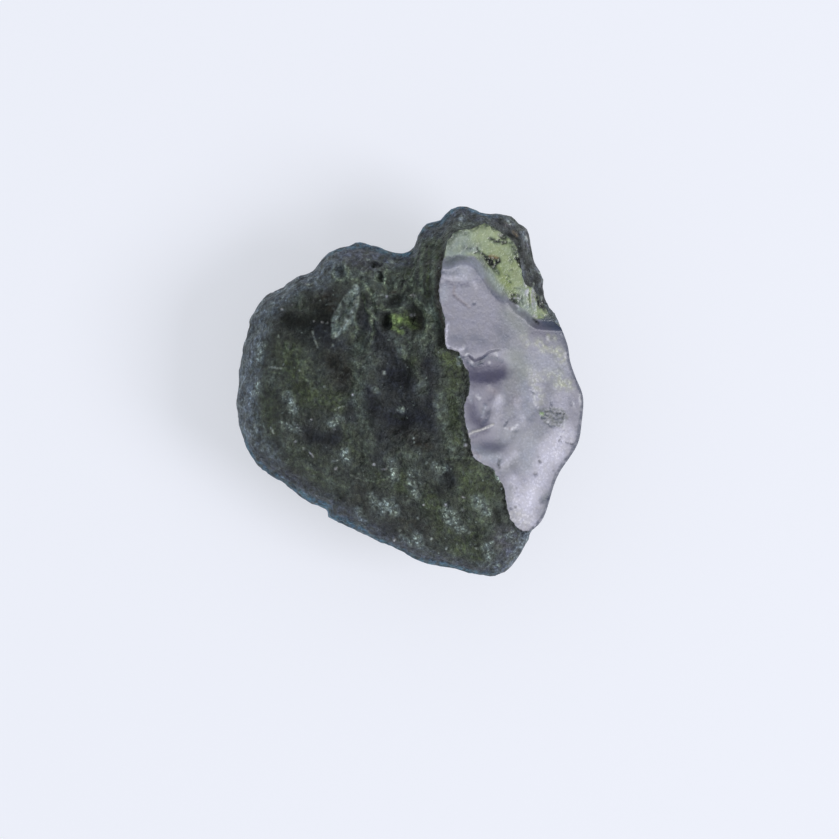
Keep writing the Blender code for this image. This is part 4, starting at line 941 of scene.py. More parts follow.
def fracture_height(at):
    """Height of the fresh glass: a tilted plane, the shelf below it, dishes and waves."""
    plane = FRACTURE_TOP - math.tan(math.radians(FRACTURE_TILT)) * (at[:, 0] - FRACTURE_START_X)
    shelf = SHELF_HEIGHT - SHELF_SLOPE * (at[:, 0] - SHELF_START_X)
    on_shelf = depth_inside(at, closed_curve(SHELF, 4))[0]
    lobe = plane - bowls(at, DISHES, DISH_POWER) + waves(at) + LOBE_STEP * lobe_step(at)
    return lobe + (shelf - lobe) * smooth((on_shelf + SHELF_BEVEL) / SHELF_BEVEL)


def dome_height(at, outline):
    """Height of the worn skin above the girdle."""
    angle, share = outline.polar(at)
    girdle = outline.girdle(angle)
    crown = CROWN_HEIGHT + CROWN_TILT * at[:, 0]
    crown = crown - bowls(at, HOLLOWS, HOLLOW_POWER) + bowls(at, LUMPS, LUMP_POWER)
    crown = crown - furrows(at, FURROWS) + furrows(at, RIDGES)
    rounding = (1 - share ** DOME_SQUARENESS) ** (1 / DOME_FULLNESS)
    return girdle + (crown - girdle) * rounding


def top_height(at, outline, fresh, edge):
    """The skin, or the fracture inside its edge; the skin meets that edge without a step."""
    skin = dome_height(at, outline)
    rise = fracture_height(edge) - dome_height(edge, outline)
    skin = skin + rise * np.exp(-((fresh / EDGE_BLEND) ** 2))
    chip = depth_inside(at, closed_curve(CHIP, 6))[0]
    skin = skin - CHIP_DEPTH * smooth(chip / CHIP_SLOPE)
    return np.where(fresh > 0, fracture_height(at), skin)


def belly_height(at, share, girdle):
    """Height of the underside."""
    low = BELLY_DEPTH + BELLY_RISE * (at ** 2).sum(axis=1)
    rounding = (1 - share ** BELLY_SQUARENESS) ** (1 / BELLY_FULLNESS)
    return girdle - (girdle - low) * rounding


def sphere_grid(cuts):
    """A cube cut into a grid and blown up to a unit sphere, with even cells."""
    bm = bmesh.new()
    bmesh.ops.create_cube(bm, size=2)
    bmesh.ops.subdivide_edges(bm, edges=bm.edges, cuts=cuts - 1, use_grid_fill=True)
    for vert in bm.verts:
        vert.co = Vector([math.tan(c * math.pi / 4) for c in vert.co]).normalized()
    return bm


def dents():
    """Seeded dents: direction, angular size and depth."""
    draw = random.Random(DENT_SEED)
    found = []
    for _ in range(DENTS):
        turn = math.radians(draw.uniform(0, 360))
        lift = math.radians(draw.uniform(*DENT_HEIGHTS))
        way = np.array([math.cos(lift) * math.cos(turn), math.cos(lift) * math.sin(turn),
                        math.sin(lift)])
        found.append((way, draw.uniform(*DENT_SIZES), draw.uniform(*DENT_DEPTHS)))
    return found


def relief(place):
    """Uneven skin, as layers of smooth noise."""
    total = 0.0
    for size, height, offset in RELIEF:
        total += height * noise.noise(place / size + Vector((offset, -offset, offset)))
    return total


def split_along(bm, level, layers):
    """Cuts every face that the zero line of a per-vertex level crosses, along that line."""
    for edge in list(bm.edges):
        a, b = edge.verts
        la, lb = a[level], b[level]
        if la * lb < 0:
            share = la / (la - lb)
            held = [a[layer] + (b[layer] - a[layer]) * share for layer in layers]
            vert = bmesh.utils.edge_split(edge, a, share)[1]
            for layer, value in zip(layers, held):
                vert[layer] = value
            vert[level] = 0.0
    for face in list(bm.faces):
        on_line = [v for v in face.verts if v[level] == 0.0]
        if len(on_line) == 2:
            bmesh.utils.face_split(face, *on_line)


def refine(bm, faces):
    """Cuts each edge of the faces in two and puts the new corners on the unit sphere."""
    edges = {edge for face in faces for edge in face.edges}
    made = bmesh.ops.subdivide_edges(bm, edges=list(edges), cuts=1, use_grid_fill=True)
    for item in made["geom_split"]:
        if isinstance(item, bmesh.types.BMVert):
            item.co.normalize()


def seen_from_above(bm, outline):
    """Where each corner of the sphere lies in plan, with its direction and share of the way out."""
    ways = np.array([v.co for v in bm.verts])
    share = np.minimum(np.hypot(ways[:, 0], ways[:, 1]), 1)
    angle = np.arctan2(ways[:, 1], ways[:, 0])
    ahead = np.stack([np.cos(angle), np.sin(angle)], axis=1)
    reach, soft = outline.reach(angle), outline.soft_reach(angle)
    below = smooth(-ways[:, 2] / BELLY_FADE)
    at = ahead * (share * (reach + (soft - reach) * below))[:, None] + OUTLINE_CENTRE
    rim = ahead * reach[:, None] + OUTLINE_CENTRE
    return ways, angle, share, below, at, rim


def distance(at, path, filled=True):
    """Distance from each place to a place, a path, or the area of a path that closes on itself."""
    if len(path) == 1:
        return np.hypot(*(at - path[0]).T)
    gap, foot, inside = nearest(at, np.array(path), False)
    return np.where(inside, 0, gap) if filled and path[0] == path[-1] else gap


def close_to(at, path, margin):
    """Which places are in the box round a path, widened by a margin."""
    low, high = np.min(path, axis=0) - margin, np.max(path, axis=0) + margin
    return np.flatnonzero(((at > low) & (at < high)).all(axis=1))


def warped(at, reach, size):
    """The places shifted by smooth noise, to make the marks uneven."""
    shifts = [noise.noise_vector(Vector((x, y, 0.0)) / size) for x, y in at]
    return at + reach * np.array(shifts)[:, :2]


def broken(at, power, size):
    """A gain round one that breaks the marks up."""
    found = np.array([noise.noise(Vector((x, y, 9.0))) for x, y in at / size])
    return np.clip(1 + power * found, *BREAK_LIMITS)


def painted(at, bends, marks, palette, ground):
    """Colours and rises that a list of marks gives, painted in order on a ground."""
    colour, rise = ground.copy(), np.zeros(len(at))
    broad, fine = (warped(at, *bend) for bend in bends)
    gain = broken(at, BREAK_UP, BREAK_SIZE)
    fine_gain = broken(at, FINE_BREAK_UP, FINE_BREAK_SIZE)
    for kind, strength, half, height, path in marks:
        places = broad if half > BROAD_MARK else fine
        near = close_to(places, path, 2 * half)
        cover = smooth(1 - 0.5 * distance(places[near], path) / half)
        if half <= FINE_MARK and len(path) > 1:
            strength = strength * fine_gain[near]
        elif kind in CRUMBLY:
            strength = strength * gain[near]
        cover *= np.minimum(strength, 1)
        colour[near] += (palette[kind] - colour[near]) * cover[:, None]
        rise[near] += height * cover
    return colour, rise


def rimmed(colour, rims, palette, angle, gap, gain):
    """Adds the painted rim light and shade: bluish reflections round the skin and a dark edge round
    the fracture.
    """
    turn = np.degrees(angle)
    for kind, first, last, width, strength in rims:
        along = np.where(turn < first, turn + 360, turn)
        cover = smooth((along - first) / 10) * smooth((last - along) / 10)
        cover *= np.minimum(strength * gain * smooth(1.5 - gap / width), 1)
        colour += (palette[kind] - colour) * cover[:, None]


def fine_places(at, top, fresh):
    """Which corners are on or close to a fine mark, or to the edge of the fracture."""
    fine = np.abs(fresh) < EDGE_MARGIN
    for kind, strength, half, height, path in SKIN_MARKS + GLASS_MARKS:
        if half <= FINE_MARK:
            near = close_to(at, path, half + FINE_MARGIN)
            fine[near] |= distance(at[near], path, filled=False) < half + FINE_MARGIN
    return fine & top


def stone_mesh(cuts, palette):
    """The whole stone in millimetres, with its tints and the places of its fresh glass."""
    outline = Outline()
    loop = closed_curve(FRACTURE, 4)
    bm = sphere_grid(cuts)
    refine(bm, [f for f in bm.faces if f.calc_center_median().z > FINE_FROM])
    ways, angle, share, below, at, rim = seen_from_above(bm, outline)
    fine = fine_places(at, ways[:, 2] > 0, depth_inside(at, loop)[0])
    bm.verts.index_update()
    refine(bm, [f for f in bm.faces if any(fine[v.index] for v in f.verts)])

    ways, angle, share, below, at, rim = seen_from_above(bm, outline)
    fresh, edge = depth_inside(warped(at, *EDGE_RAG), loop)
    rim_fresh, rim_edge = depth_inside(warped(rim, *EDGE_RAG), loop)
    girdle = top_height(rim, outline, rim_fresh, rim_edge)
    top = top_height(at, outline, fresh, edge)
    belly = belly_height(at, share, girdle + (outline.girdle(angle) - girdle) * below)
    height = np.where(ways[:, 2] > 1e-6, top, np.where(ways[:, 2] < -1e-6, belly, girdle))
    for vert, (x, y), z in zip(bm.verts, at, height):
        vert.co = (x, y, z)
    bm.normal_update()

    on_top = ways[:, 2] > -1e-6
    beside, under = smooth(-fresh / WORN_MARGIN), smooth(-ways[:, 2] / WORN_DROP)
    worn = np.where(on_top, beside, np.maximum(beside, under))
    hollow = np.zeros(len(ways))
    for way, size, depth in dents():
        apart = np.degrees(np.arccos(np.clip(ways @ way, -1, 1))) / size
        hollow += depth * np.clip(1 - apart ** 2, 0, None) ** DENT_POWER

    shelf = depth_inside(warped(at, *SHELF_RAG), closed_curve(SHELF, 4))[0]
    ground = np.tile(palette["olive"], (len(at), 1))
    skin, skin_rise = painted(at, SKIN_BENDS, SKIN_MARKS, palette, ground)
    on_shelf = smooth(0.5 + shelf / 0.2)[:, None]
    # The fresh glass starts from its milky grey with a painted lavender sheen, and on the shelf
    # from its green painted bright with the light that comes through the thin glass.
    ground = palette["lavender"] + (palette["lime"] - palette["lavender"]) * on_shelf
    glass, glass_rise = painted(at, GLASS_BENDS, GLASS_MARKS, palette, ground)
    gap = (1 - share) * outline.reach(angle)
    gain = broken(at, BREAK_UP, BREAK_SIZE)
    # Paints bluish reflections along the skin's rim and a dark refracting edge along the fracture's
    # rim.
    rimmed(skin, SKIN_RIM_LIGHT, palette, angle, np.where(on_top, gap, 0), gain)
    rimmed(glass, GLASS_RIM_SHADE, palette, angle, gap, gain)
    skin = np.where(on_top[:, None], skin, palette["olive"] + (skin - palette["olive"])
                    * smooth(1 + ways[:, 2:] / 0.1))
    rise = np.where(fresh > 0, glass_rise, skin_rise) * on_top

    moves = []
    for vert, keep, dent, lift in zip(bm.verts, worn, hollow, rise):
        moves.append(vert.normal * float(keep * (relief(vert.co) - dent) + lift))
    for vert, move in zip(bm.verts, moves):
        vert.co += move
        vert.co.z = max(vert.co.z, 0.0)

    values = {
        "level": np.where(on_top, fresh, -1.0),
        "shelf": np.where(on_top, shelf, -1.0),
        "worn": worn,
    }
    layers = {name: bm.verts.layers.float.new(name) for name in values}
    # Painted colours of skin and glass, with the painted light and shade among them.
    tints = {"skin_tint_and_light": skin, "glass_tint_and_light": glass}
    layers.update({name: bm.verts.layers.float_color.new(name) for name in tints})
    for name, row in values.items():
        for vert, value in zip(bm.verts, row):
            vert[layers[name]] = float(value)
    for name, row in tints.items():
        for vert, value in zip(bm.verts, row):
            vert[layers[name]] = value
    split_along(bm, layers["level"], [layer for name, layer in layers.items() if name != "level"])
    return bm, layers


class StoneShape(PropertyGroup):
    """Sizes of the fine surface."""

    cuts: IntProperty(name="Grid cuts", description="Cells along each side of the coarse grid",
                      default=64, min=16, max=76)
    pit_spacing: FloatProperty(name="Pit spacing", description="Least distance between etch pits",
                               default=0.3 * MM, unit="LENGTH", precision=5)
    pit_radius: FloatProperty(name="Pit radius", description="Radius of the largest etch pits",
                              default=0.3 * MM, unit="LENGTH", precision=5)
    pit_depth: FloatProperty(name="Pit depth", description="Depth of the deepest etch pits",
                             default=0.08 * MM, unit="LENGTH", precision=6)
    pit_seed: IntProperty(name="Pit seed", description="Which scatter of pits is used", default=4)


# Colours of the stone, as linear red, green and blue and how far each crumbles into grains.
COLOURS = {
    "olive": ((0.059, 0.071, 0.056, 0.5), "Worn skin"),
    "moss": ((0.069, 0.092, 0.039, 0.4), "Skin with light passing through"),
    "ink": ((0.022, 0.025, 0.032, 0.3), "Blue-black hollows"),
    "dark": ((0.014, 0.017, 0.013, 0.2), "Deep pits"),
    "earth": ((0.031, 0.026, 0.018, 0.3), "Brown hollows"),
    "mauve": ((0.135, 0.134, 0.157, 0.6), "Greyish skin"),
    # Painted reflection: the pale bluish light that the skin's rim catches at a grazing angle.
    "haze": ((0.203, 0.246, 0.270, 0.5), "Pale bluish skin"),
    # Painted dim bluish reflection along the skin's rim.
    "dusk": ((0.104, 0.120, 0.153, 0.5), "Dusky bluish skin"),
    "veil": ((0.130, 0.162, 0.124, 0.6), "Pale green skin"),
    "vein": ((0.208, 0.260, 0.176, 0.4), "Pale ridges"),
    "frost": ((0.345, 0.420, 0.375, 1.0), "Frosted skin"),
    # Bright grains, partly painted glints where the skin and the fresh glass catch the light.
    "white": ((0.660, 0.660, 0.680, 0.0), "Bright grains"),
    # Pale grains and lines, partly painted highlights, as along the lit edge of the chip and on the
    # rims.
    "pale": ((0.463, 0.525, 0.463, 0.0), "Pale grains and lines"),
    "scar": ((0.247, 0.312, 0.260, 0.0), "Chipped scar"),
    "glow": ((0.252, 0.360, 0.120, 0.1), "Lit yellow-green glass"),
    # Painted bluish reflection on the thin edge of the skin's rim.
    "teal": ((0.078, 0.176, 0.247, 0.3), "Bluish rim of the skin"),
    "rough": ((0.103, 0.112, 0.117, 1.0), "Rough broken rim"),
    "amber": ((0.420, 0.300, 0.140, 0.5), "Amber stain"),
    # Fresh fracture: a milky grey with a painted lavender sheen, the reflection of the bright light
    # on the fresh glass.
    "lavender": ((0.263, 0.260, 0.309, 0.1), "Fresh fracture"),
    # Painted sheen: bluish reflection on the fresh glass.
    "fog": ((0.344, 0.375, 0.427, 0.3), "Bluish fracture"),
    "ash": ((0.233, 0.248, 0.275, 0.3), "Grey fracture"),
    # Painted sheen: the brightest reflection on the fresh glass.
    "pearl": ((0.654, 0.642, 0.720, 0.3), "Brightest fracture"),
    # Painted shade: the dishes of the fracture, dark where their slopes turn away from the light.
    "violet": ((0.061, 0.057, 0.110, 0.0), "Darkest dishes of the fracture"),
    # Painted shade: blue-grey bands on bevels and edges that turn away from the light.
    "slate": ((0.060, 0.080, 0.125, 0.2), "Blue-grey bevels"),
    "sage": ((0.233, 0.265, 0.232, 0.2), "Grey-green fracture"),
    # Painted light: yellow tints where light comes through the thin edge of the fracture.
    "straw": ((0.508, 0.540, 0.356, 0.9), "Yellow tints of the fracture"),
    "warm": ((0.270, 0.230, 0.240, 0.5), "Warm tints of the fracture"),
    # Painted highlights: cream lines where ridges of the fresh glass catch the light.
    "cream": ((0.605, 0.594, 0.550, 0.5), "Cream tints of the fracture"),
    # Painted shade: the dark line where light refracts at the fracture's outer edge.
    "rim": ((0.050, 0.065, 0.105, 0.8), "Dark rim of the fracture"),
    # The four clear-glass greens below: the glass's green, painted bright with the light that comes
    # through the thin shelf, paler or deeper as that light is.
    "lime": ((0.438, 0.525, 0.275, 0.1), "Clear glass of the shelf"),
    "lime_pale": ((0.525, 0.610, 0.354, 0.1), "Bright clear glass"),
    "lime_deep": ((0.344, 0.425, 0.163, 0.1), "Deeper clear glass"),
    "pane": ((0.444, 0.516, 0.450, 0.3), "Pale clear glass"),
    "moss_glass": ((0.094, 0.127, 0.077, 0.8), "Greenish cracks"),
    "leaf": ((0.360, 0.520, 0.240, 0.6), "Bright green fleck"),
    "crack": ((0.012, 0.015, 0.015, 0.2), "Cracks and bubbles"),
}


class GlassLook(PropertyGroup):
    """Colours and gloss of the stone."""

    __annotations__ = {
        name: FloatVectorProperty(name=name.replace("_", " ").capitalize(), description=text,
                                  subtype="COLOR", size=4, default=colour, min=0, max=1)
        for name, (colour, text) in COLOURS.items()
    }
    __annotations__["body"] = FloatVectorProperty(
        name="Glass body", description="Colour that the glass lets through", subtype="COLOR",
        default=(0.42, 0.64, 0.08), min=0, max=1)
    __annotations__["absorption"] = FloatProperty(
        name="Absorption", description="Absorption of the glass per metre", default=520.0, min=0)
    __annotations__["ior"] = FloatProperty(
        name="Refraction", description="Index of refraction of the glass", default=1.49, min=1)


class StageLook(PropertyGroup):
    """The table, the camera and the light."""

    paper: FloatVectorProperty(name="Paper", description="Colour of the table", subtype="COLOR",
                               default=(0.86, 0.88, 0.93), min=0, max=1)
    camera_height: FloatProperty(name="Camera height", description="Height over the table",
                                 default=0.30, unit="LENGTH")
    view_width: FloatProperty(name="View width", description="Width that the camera sees",
                              default=0.05034, unit="LENGTH", precision=5)


def add(tree, kind, place, **settings):
    """A node at a place in the tree, with its properties set."""
    node = tree.nodes.new(kind)
    node.location = place
    for name, value in settings.items():
        setattr(node, name, value)
    return node


def join(tree, *pairs):
    """Links from socket to socket."""
    for source, target in pairs:
        tree.links.new(source, target)


def mix(tree, place, factor, low, high):
    """A colour mix; low and high are sockets or plain colours."""
    node = add(tree, "ShaderNodeMix", place, data_type="RGBA")
    tree.links.new(factor, node.inputs[0])
    for value, socket in ((low, node.inputs[6]), (high, node.inputs[7])):
        if isinstance(value, bpy.types.NodeSocket):
            tree.links.new(value, socket)
        else:
            socket.default_value = (*value[:3], 1)
    return node.outputs[2]


def calc(tree, place, operation, *values, clamp=False):
    """A math node on sockets or plain numbers."""
    node = add(tree, "ShaderNodeMath", place, operation=operation, use_clamp=clamp)
    for i, value in enumerate(values):
        if isinstance(value, bpy.types.NodeSocket):
            tree.links.new(value, node.inputs[i])
        else:
            node.inputs[i].default_value = value
    return node.outputs[0]


def ramp(tree, place, value, low, high):
    """A smooth rise from 0 at low to 1 at high."""
    node = add(tree, "ShaderNodeMapRange", place, interpolation_type="SMOOTHSTEP")
    tree.links.new(value, node.inputs["Value"])
    node.inputs["From Min"].default_value = low
    node.inputs["From Max"].default_value = high
    return node.outputs["Result"]


def texture(tree, kind, place, vector, **values):
    """A texture node on a vector, with its sockets set."""
    node = add(tree, kind, place)
    tree.links.new(vector, node.inputs["Vector"])
    for name, value in values.items():
        node.inputs[name].default_value = value
    return node


def grain_group():
    """Worn grain from a place in millimetres: tones, hue, specks, pits, crumbs and a height."""
    tree = bpy.data.node_groups.new("worn_grain", "ShaderNodeTree")
    tree.interface.new_socket("Place", in_out="INPUT", socket_type="NodeSocketVector")
    for name in ("Tone", "Fine", "Hue", "Specks", "Pits", "Crumbs", "Height"):
        tree.interface.new_socket(name, in_out="OUTPUT", socket_type="NodeSocketFloat")
    source = add(tree, "NodeGroupInput", (-1100, 0))
    sink = add(tree, "NodeGroupOutput", (900, 0))
    at = source.outputs["Place"]
    patches = texture(tree, "ShaderNodeTexNoise", (-500, 500), at, Scale=1.1, Detail=7.0,
                      Roughness=0.75).outputs["Fac"]
    drawn = add(tree, "ShaderNodeVectorMath", (-700, 900), operation="MULTIPLY")
    drawn.inputs[1].default_value = (1.0, 0.35, 1.0)
    join(tree, (at, drawn.inputs[0]))
    streaks = texture(tree, "ShaderNodeTexNoise", (-500, 1000), drawn.outputs[0], Scale=3.2,
                      Detail=4.0, Roughness=0.65).outputs["Fac"]
    tone = calc(tree, (-200, 700), "MULTIPLY_ADD", streaks, 0.45, -0.225)
    tone = calc(tree, (0, 700), "ADD", patches, tone)
    fine = texture(tree, "ShaderNodeTexNoise", (-500, 200), at, Scale=5.5, Detail=4.0,
                   Roughness=0.7).outputs["Fac"]
    hue = texture(tree, "ShaderNodeTexNoise", (-500, 800), at, Scale=2.1, Detail=3.0,
                  Roughness=0.6).outputs["Fac"]
    shift = texture(tree, "ShaderNodeTexNoise", (-900, -200), at, Scale=4.0, Detail=2.0)
    bent = add(tree, "ShaderNodeVectorMath", (-700, -200), operation="MULTIPLY_ADD")
    bent.inputs[1].default_value = (0.25, 0.25, 0.25)
    join(tree, (shift.outputs["Color"], bent.inputs[0]), (at, bent.inputs[2]))
    cells = texture(tree, "ShaderNodeTexVoronoi", (-500, -100), bent.outputs[0], Scale=2.7)
    chosen = add(tree, "ShaderNodeSeparateColor", (-250, -250))
    join(tree, (cells.outputs["Color"], chosen.inputs[0]))
    specks = ramp(tree, (0, -100), cells.outputs["Distance"], 0.26, 0.08)
    lucky = ramp(tree, (0, -300), chosen.outputs[0], 0.6, 0.95)
    specks = calc(tree, (200, -100), "MULTIPLY", specks, lucky)
    holes = texture(tree, "ShaderNodeTexVoronoi", (-500, -500), bent.outputs[0], Scale=2.2)
    pits = ramp(tree, (0, -500), holes.outputs["Distance"], 0.55, 0.05)
    bits = texture(tree, "ShaderNodeTexVoronoi", (-500, -900), bent.outputs[0], Scale=5.6)
    crumbs = ramp(tree, (0, -900), bits.outputs["Distance"], 0.62, 0.2)
    height = calc(tree, (200, 200), "MULTIPLY_ADD", pits, -0.7, fine)
    height = calc(tree, (400, 200), "MULTIPLY_ADD", specks, 0.5, height)
    height = calc(tree, (600, 200), "MULTIPLY_ADD", crumbs, 0.35, height)
    join(
        tree,
        (tone, sink.inputs["Tone"]),
        (fine, sink.inputs["Fine"]),
        (hue, sink.inputs["Hue"]),
        (specks, sink.inputs["Specks"]),
        (pits, sink.inputs["Pits"]),
        (crumbs, sink.inputs["Crumbs"]),
        (height, sink.inputs["Height"]),
    )
    return tree


def glass_material(name, look, grain, tint, transmission, contrast, hues, roughness, bumps):
    """Glass with a painted tint, an uneven tone, a grainy gloss and a bump.

    Contrast holds the strength of the broad tone, of the fine grain and of the crumbs on pale
    paint, hues how far the tint turns yellow and blue, roughness its least value and spread, and
    bumps the strength and height.
    """
    material = bpy.data.materials.new(name)
    material.use_nodes = True
    tree = material.node_tree
    shader = tree.nodes["Principled BSDF"]
    shader.location = (1500, 0)
    shader.inputs["IOR"].default_value = look.ior
    shader.inputs["Metallic"].default_value = 0.0
    shader.inputs["Transmission Weight"].default_value = transmission
    output = tree.nodes["Material Output"]
    output.location = (1900, 0)
    body = add(tree, "ShaderNodeVolumeAbsorption", (1500, -800))
    body.inputs["Color"].default_value = (*look.body, 1)
    body.inputs["Density"].default_value = look.absorption
    where = add(tree, "ShaderNodeTexCoord", (-900, 0))
    place = add(tree, "ShaderNodeVectorMath", (-700, 0), operation="SCALE")
    place.inputs["Scale"].default_value = 1 / MM
    worn = add(tree, "ShaderNodeGroup", (-400, 0), node_tree=grain)
    paint = add(tree, "ShaderNodeAttribute", (-400, 400), attribute_type="GEOMETRY",
                attribute_name=tint)
    level = add(tree, "ShaderNodeRGBToBW", (-200, -500))
    join(
        tree,
        (body.outputs[0], output.inputs["Volume"]),
        (where.outputs["Object"], place.inputs[0]),
        (place.outputs[0], worn.inputs["Place"]),
        (paint.outputs["Color"], level.inputs[0]),
    )
    broad, fine, crumbly = contrast
    power = calc(tree, (-100, 200), "MULTIPLY_ADD", worn.outputs["Tone"], broad, -0.5 * broad)
    power = calc(tree, (50, 200), "MULTIPLY_ADD", worn.outputs["Fine"], fine, power)
    power = calc(tree, (200, 200), "ADD", power, -0.5 * fine)
    pale = ramp(tree, (0, -100), level.outputs[0], 0.05, 0.25)
    pale = calc(tree, (150, -100), "MULTIPLY", pale, paint.outputs["Alpha"])
    lumps = calc(tree, (0, 50), "MULTIPLY_ADD", worn.outputs["Crumbs"], crumbly, -0.45 * crumbly)
    power = calc(tree, (350, 200), "MULTIPLY_ADD", lumps, pale, power)
    gain = calc(tree, (500, 200), "POWER", math.e, power)
    turn = ramp(tree, (-100, 600), worn.outputs["Hue"], 0.35, 0.65)
    cast = mix(tree, (200, 600), turn, (1.0, 1.0, 1 - hues), (1 - 0.4 * hues, 1.0, 1 + hues))
    toned = add(tree, "ShaderNodeVectorMath", (650, 400), operation="SCALE")
    cast_on = add(tree, "ShaderNodeVectorMath", (800, 400), operation="MULTIPLY")
    gloss = calc(tree, (400, -200), "MULTIPLY_ADD", worn.outputs["Fine"], roughness[1],
                 roughness[0])
    deep = ramp(tree, (200, -500), level.outputs[0], 0.06, 0.02)
    gloss = calc(tree, (600, -200), "MAXIMUM", gloss, deep, clamp=True)
    bump = add(tree, "ShaderNodeBump", (1200, -400))
    bump.inputs["Strength"].default_value = bumps[0]
    bump.inputs["Distance"].default_value = bumps[1] * MM
    join(
        tree,
        (paint.outputs["Color"], toned.inputs[0]),
        (gain, toned.inputs["Scale"]),
        (toned.outputs[0], cast_on.inputs[0]),
        (cast, cast_on.inputs[1]),
        (cast_on.outputs[0], shader.inputs["Base Color"]),
        (gloss, shader.inputs["Roughness"]),
        (worn.outputs["Height"], bump.inputs["Height"]),
        (bump.outputs[0], shader.inputs["Normal"]),
    )
    return material, tree, worn, cast_on.outputs[0]


def skin_material(look, grain):
    """The matt, pitted skin, with pale specks and dark pits."""
    material, tree, worn, colour = glass_material(
        "moldavite_skin", look, grain, "skin_tint_and_light", 0.12, (4.0, 3.4, 1.5), 0.1, (0.38, 0.3),
        (1.0, 0.12))
    pits = calc(tree, (950, 0), "MULTIPLY", worn.outputs["Pits"], 0.5)
    colour = mix(tree, (1050, 400), pits, colour, tuple(look.dark))
    # Pale specks in the frost colour: bright grains that are partly painted glints.
    specks = calc(tree, (1050, 0), "MULTIPLY", worn.outputs["Specks"], 0.5)
    colour = mix(tree, (1250, 400), specks, colour, tuple(look.frost))
    tree.links.new(colour, tree.nodes["Principled BSDF"].inputs["Base Color"])
    return material


def fracture_material(look, grain):
    """The smooth fresh fracture, whose tint carries a painted sheen and painted shade."""
    return glass_material("moldavite_fracture", look, grain, "glass_tint_and_light", 0.2,
                          (0.45, 0.35, 0.9), 0.03, (0.28, 0.1), (0.2, 0.03))[0]


def window_material(look, grain):
    """The clear yellow-green glass of the shelf, its tint painted bright with the light that comes
    through the thin glass.
    """
    return glass_material("moldavite_window", look, grain, "glass_tint_and_light", 0.3,
                          (0.9, 0.45, 0.7), 0.06, (0.16, 0.16), (0.3, 0.05))[0]


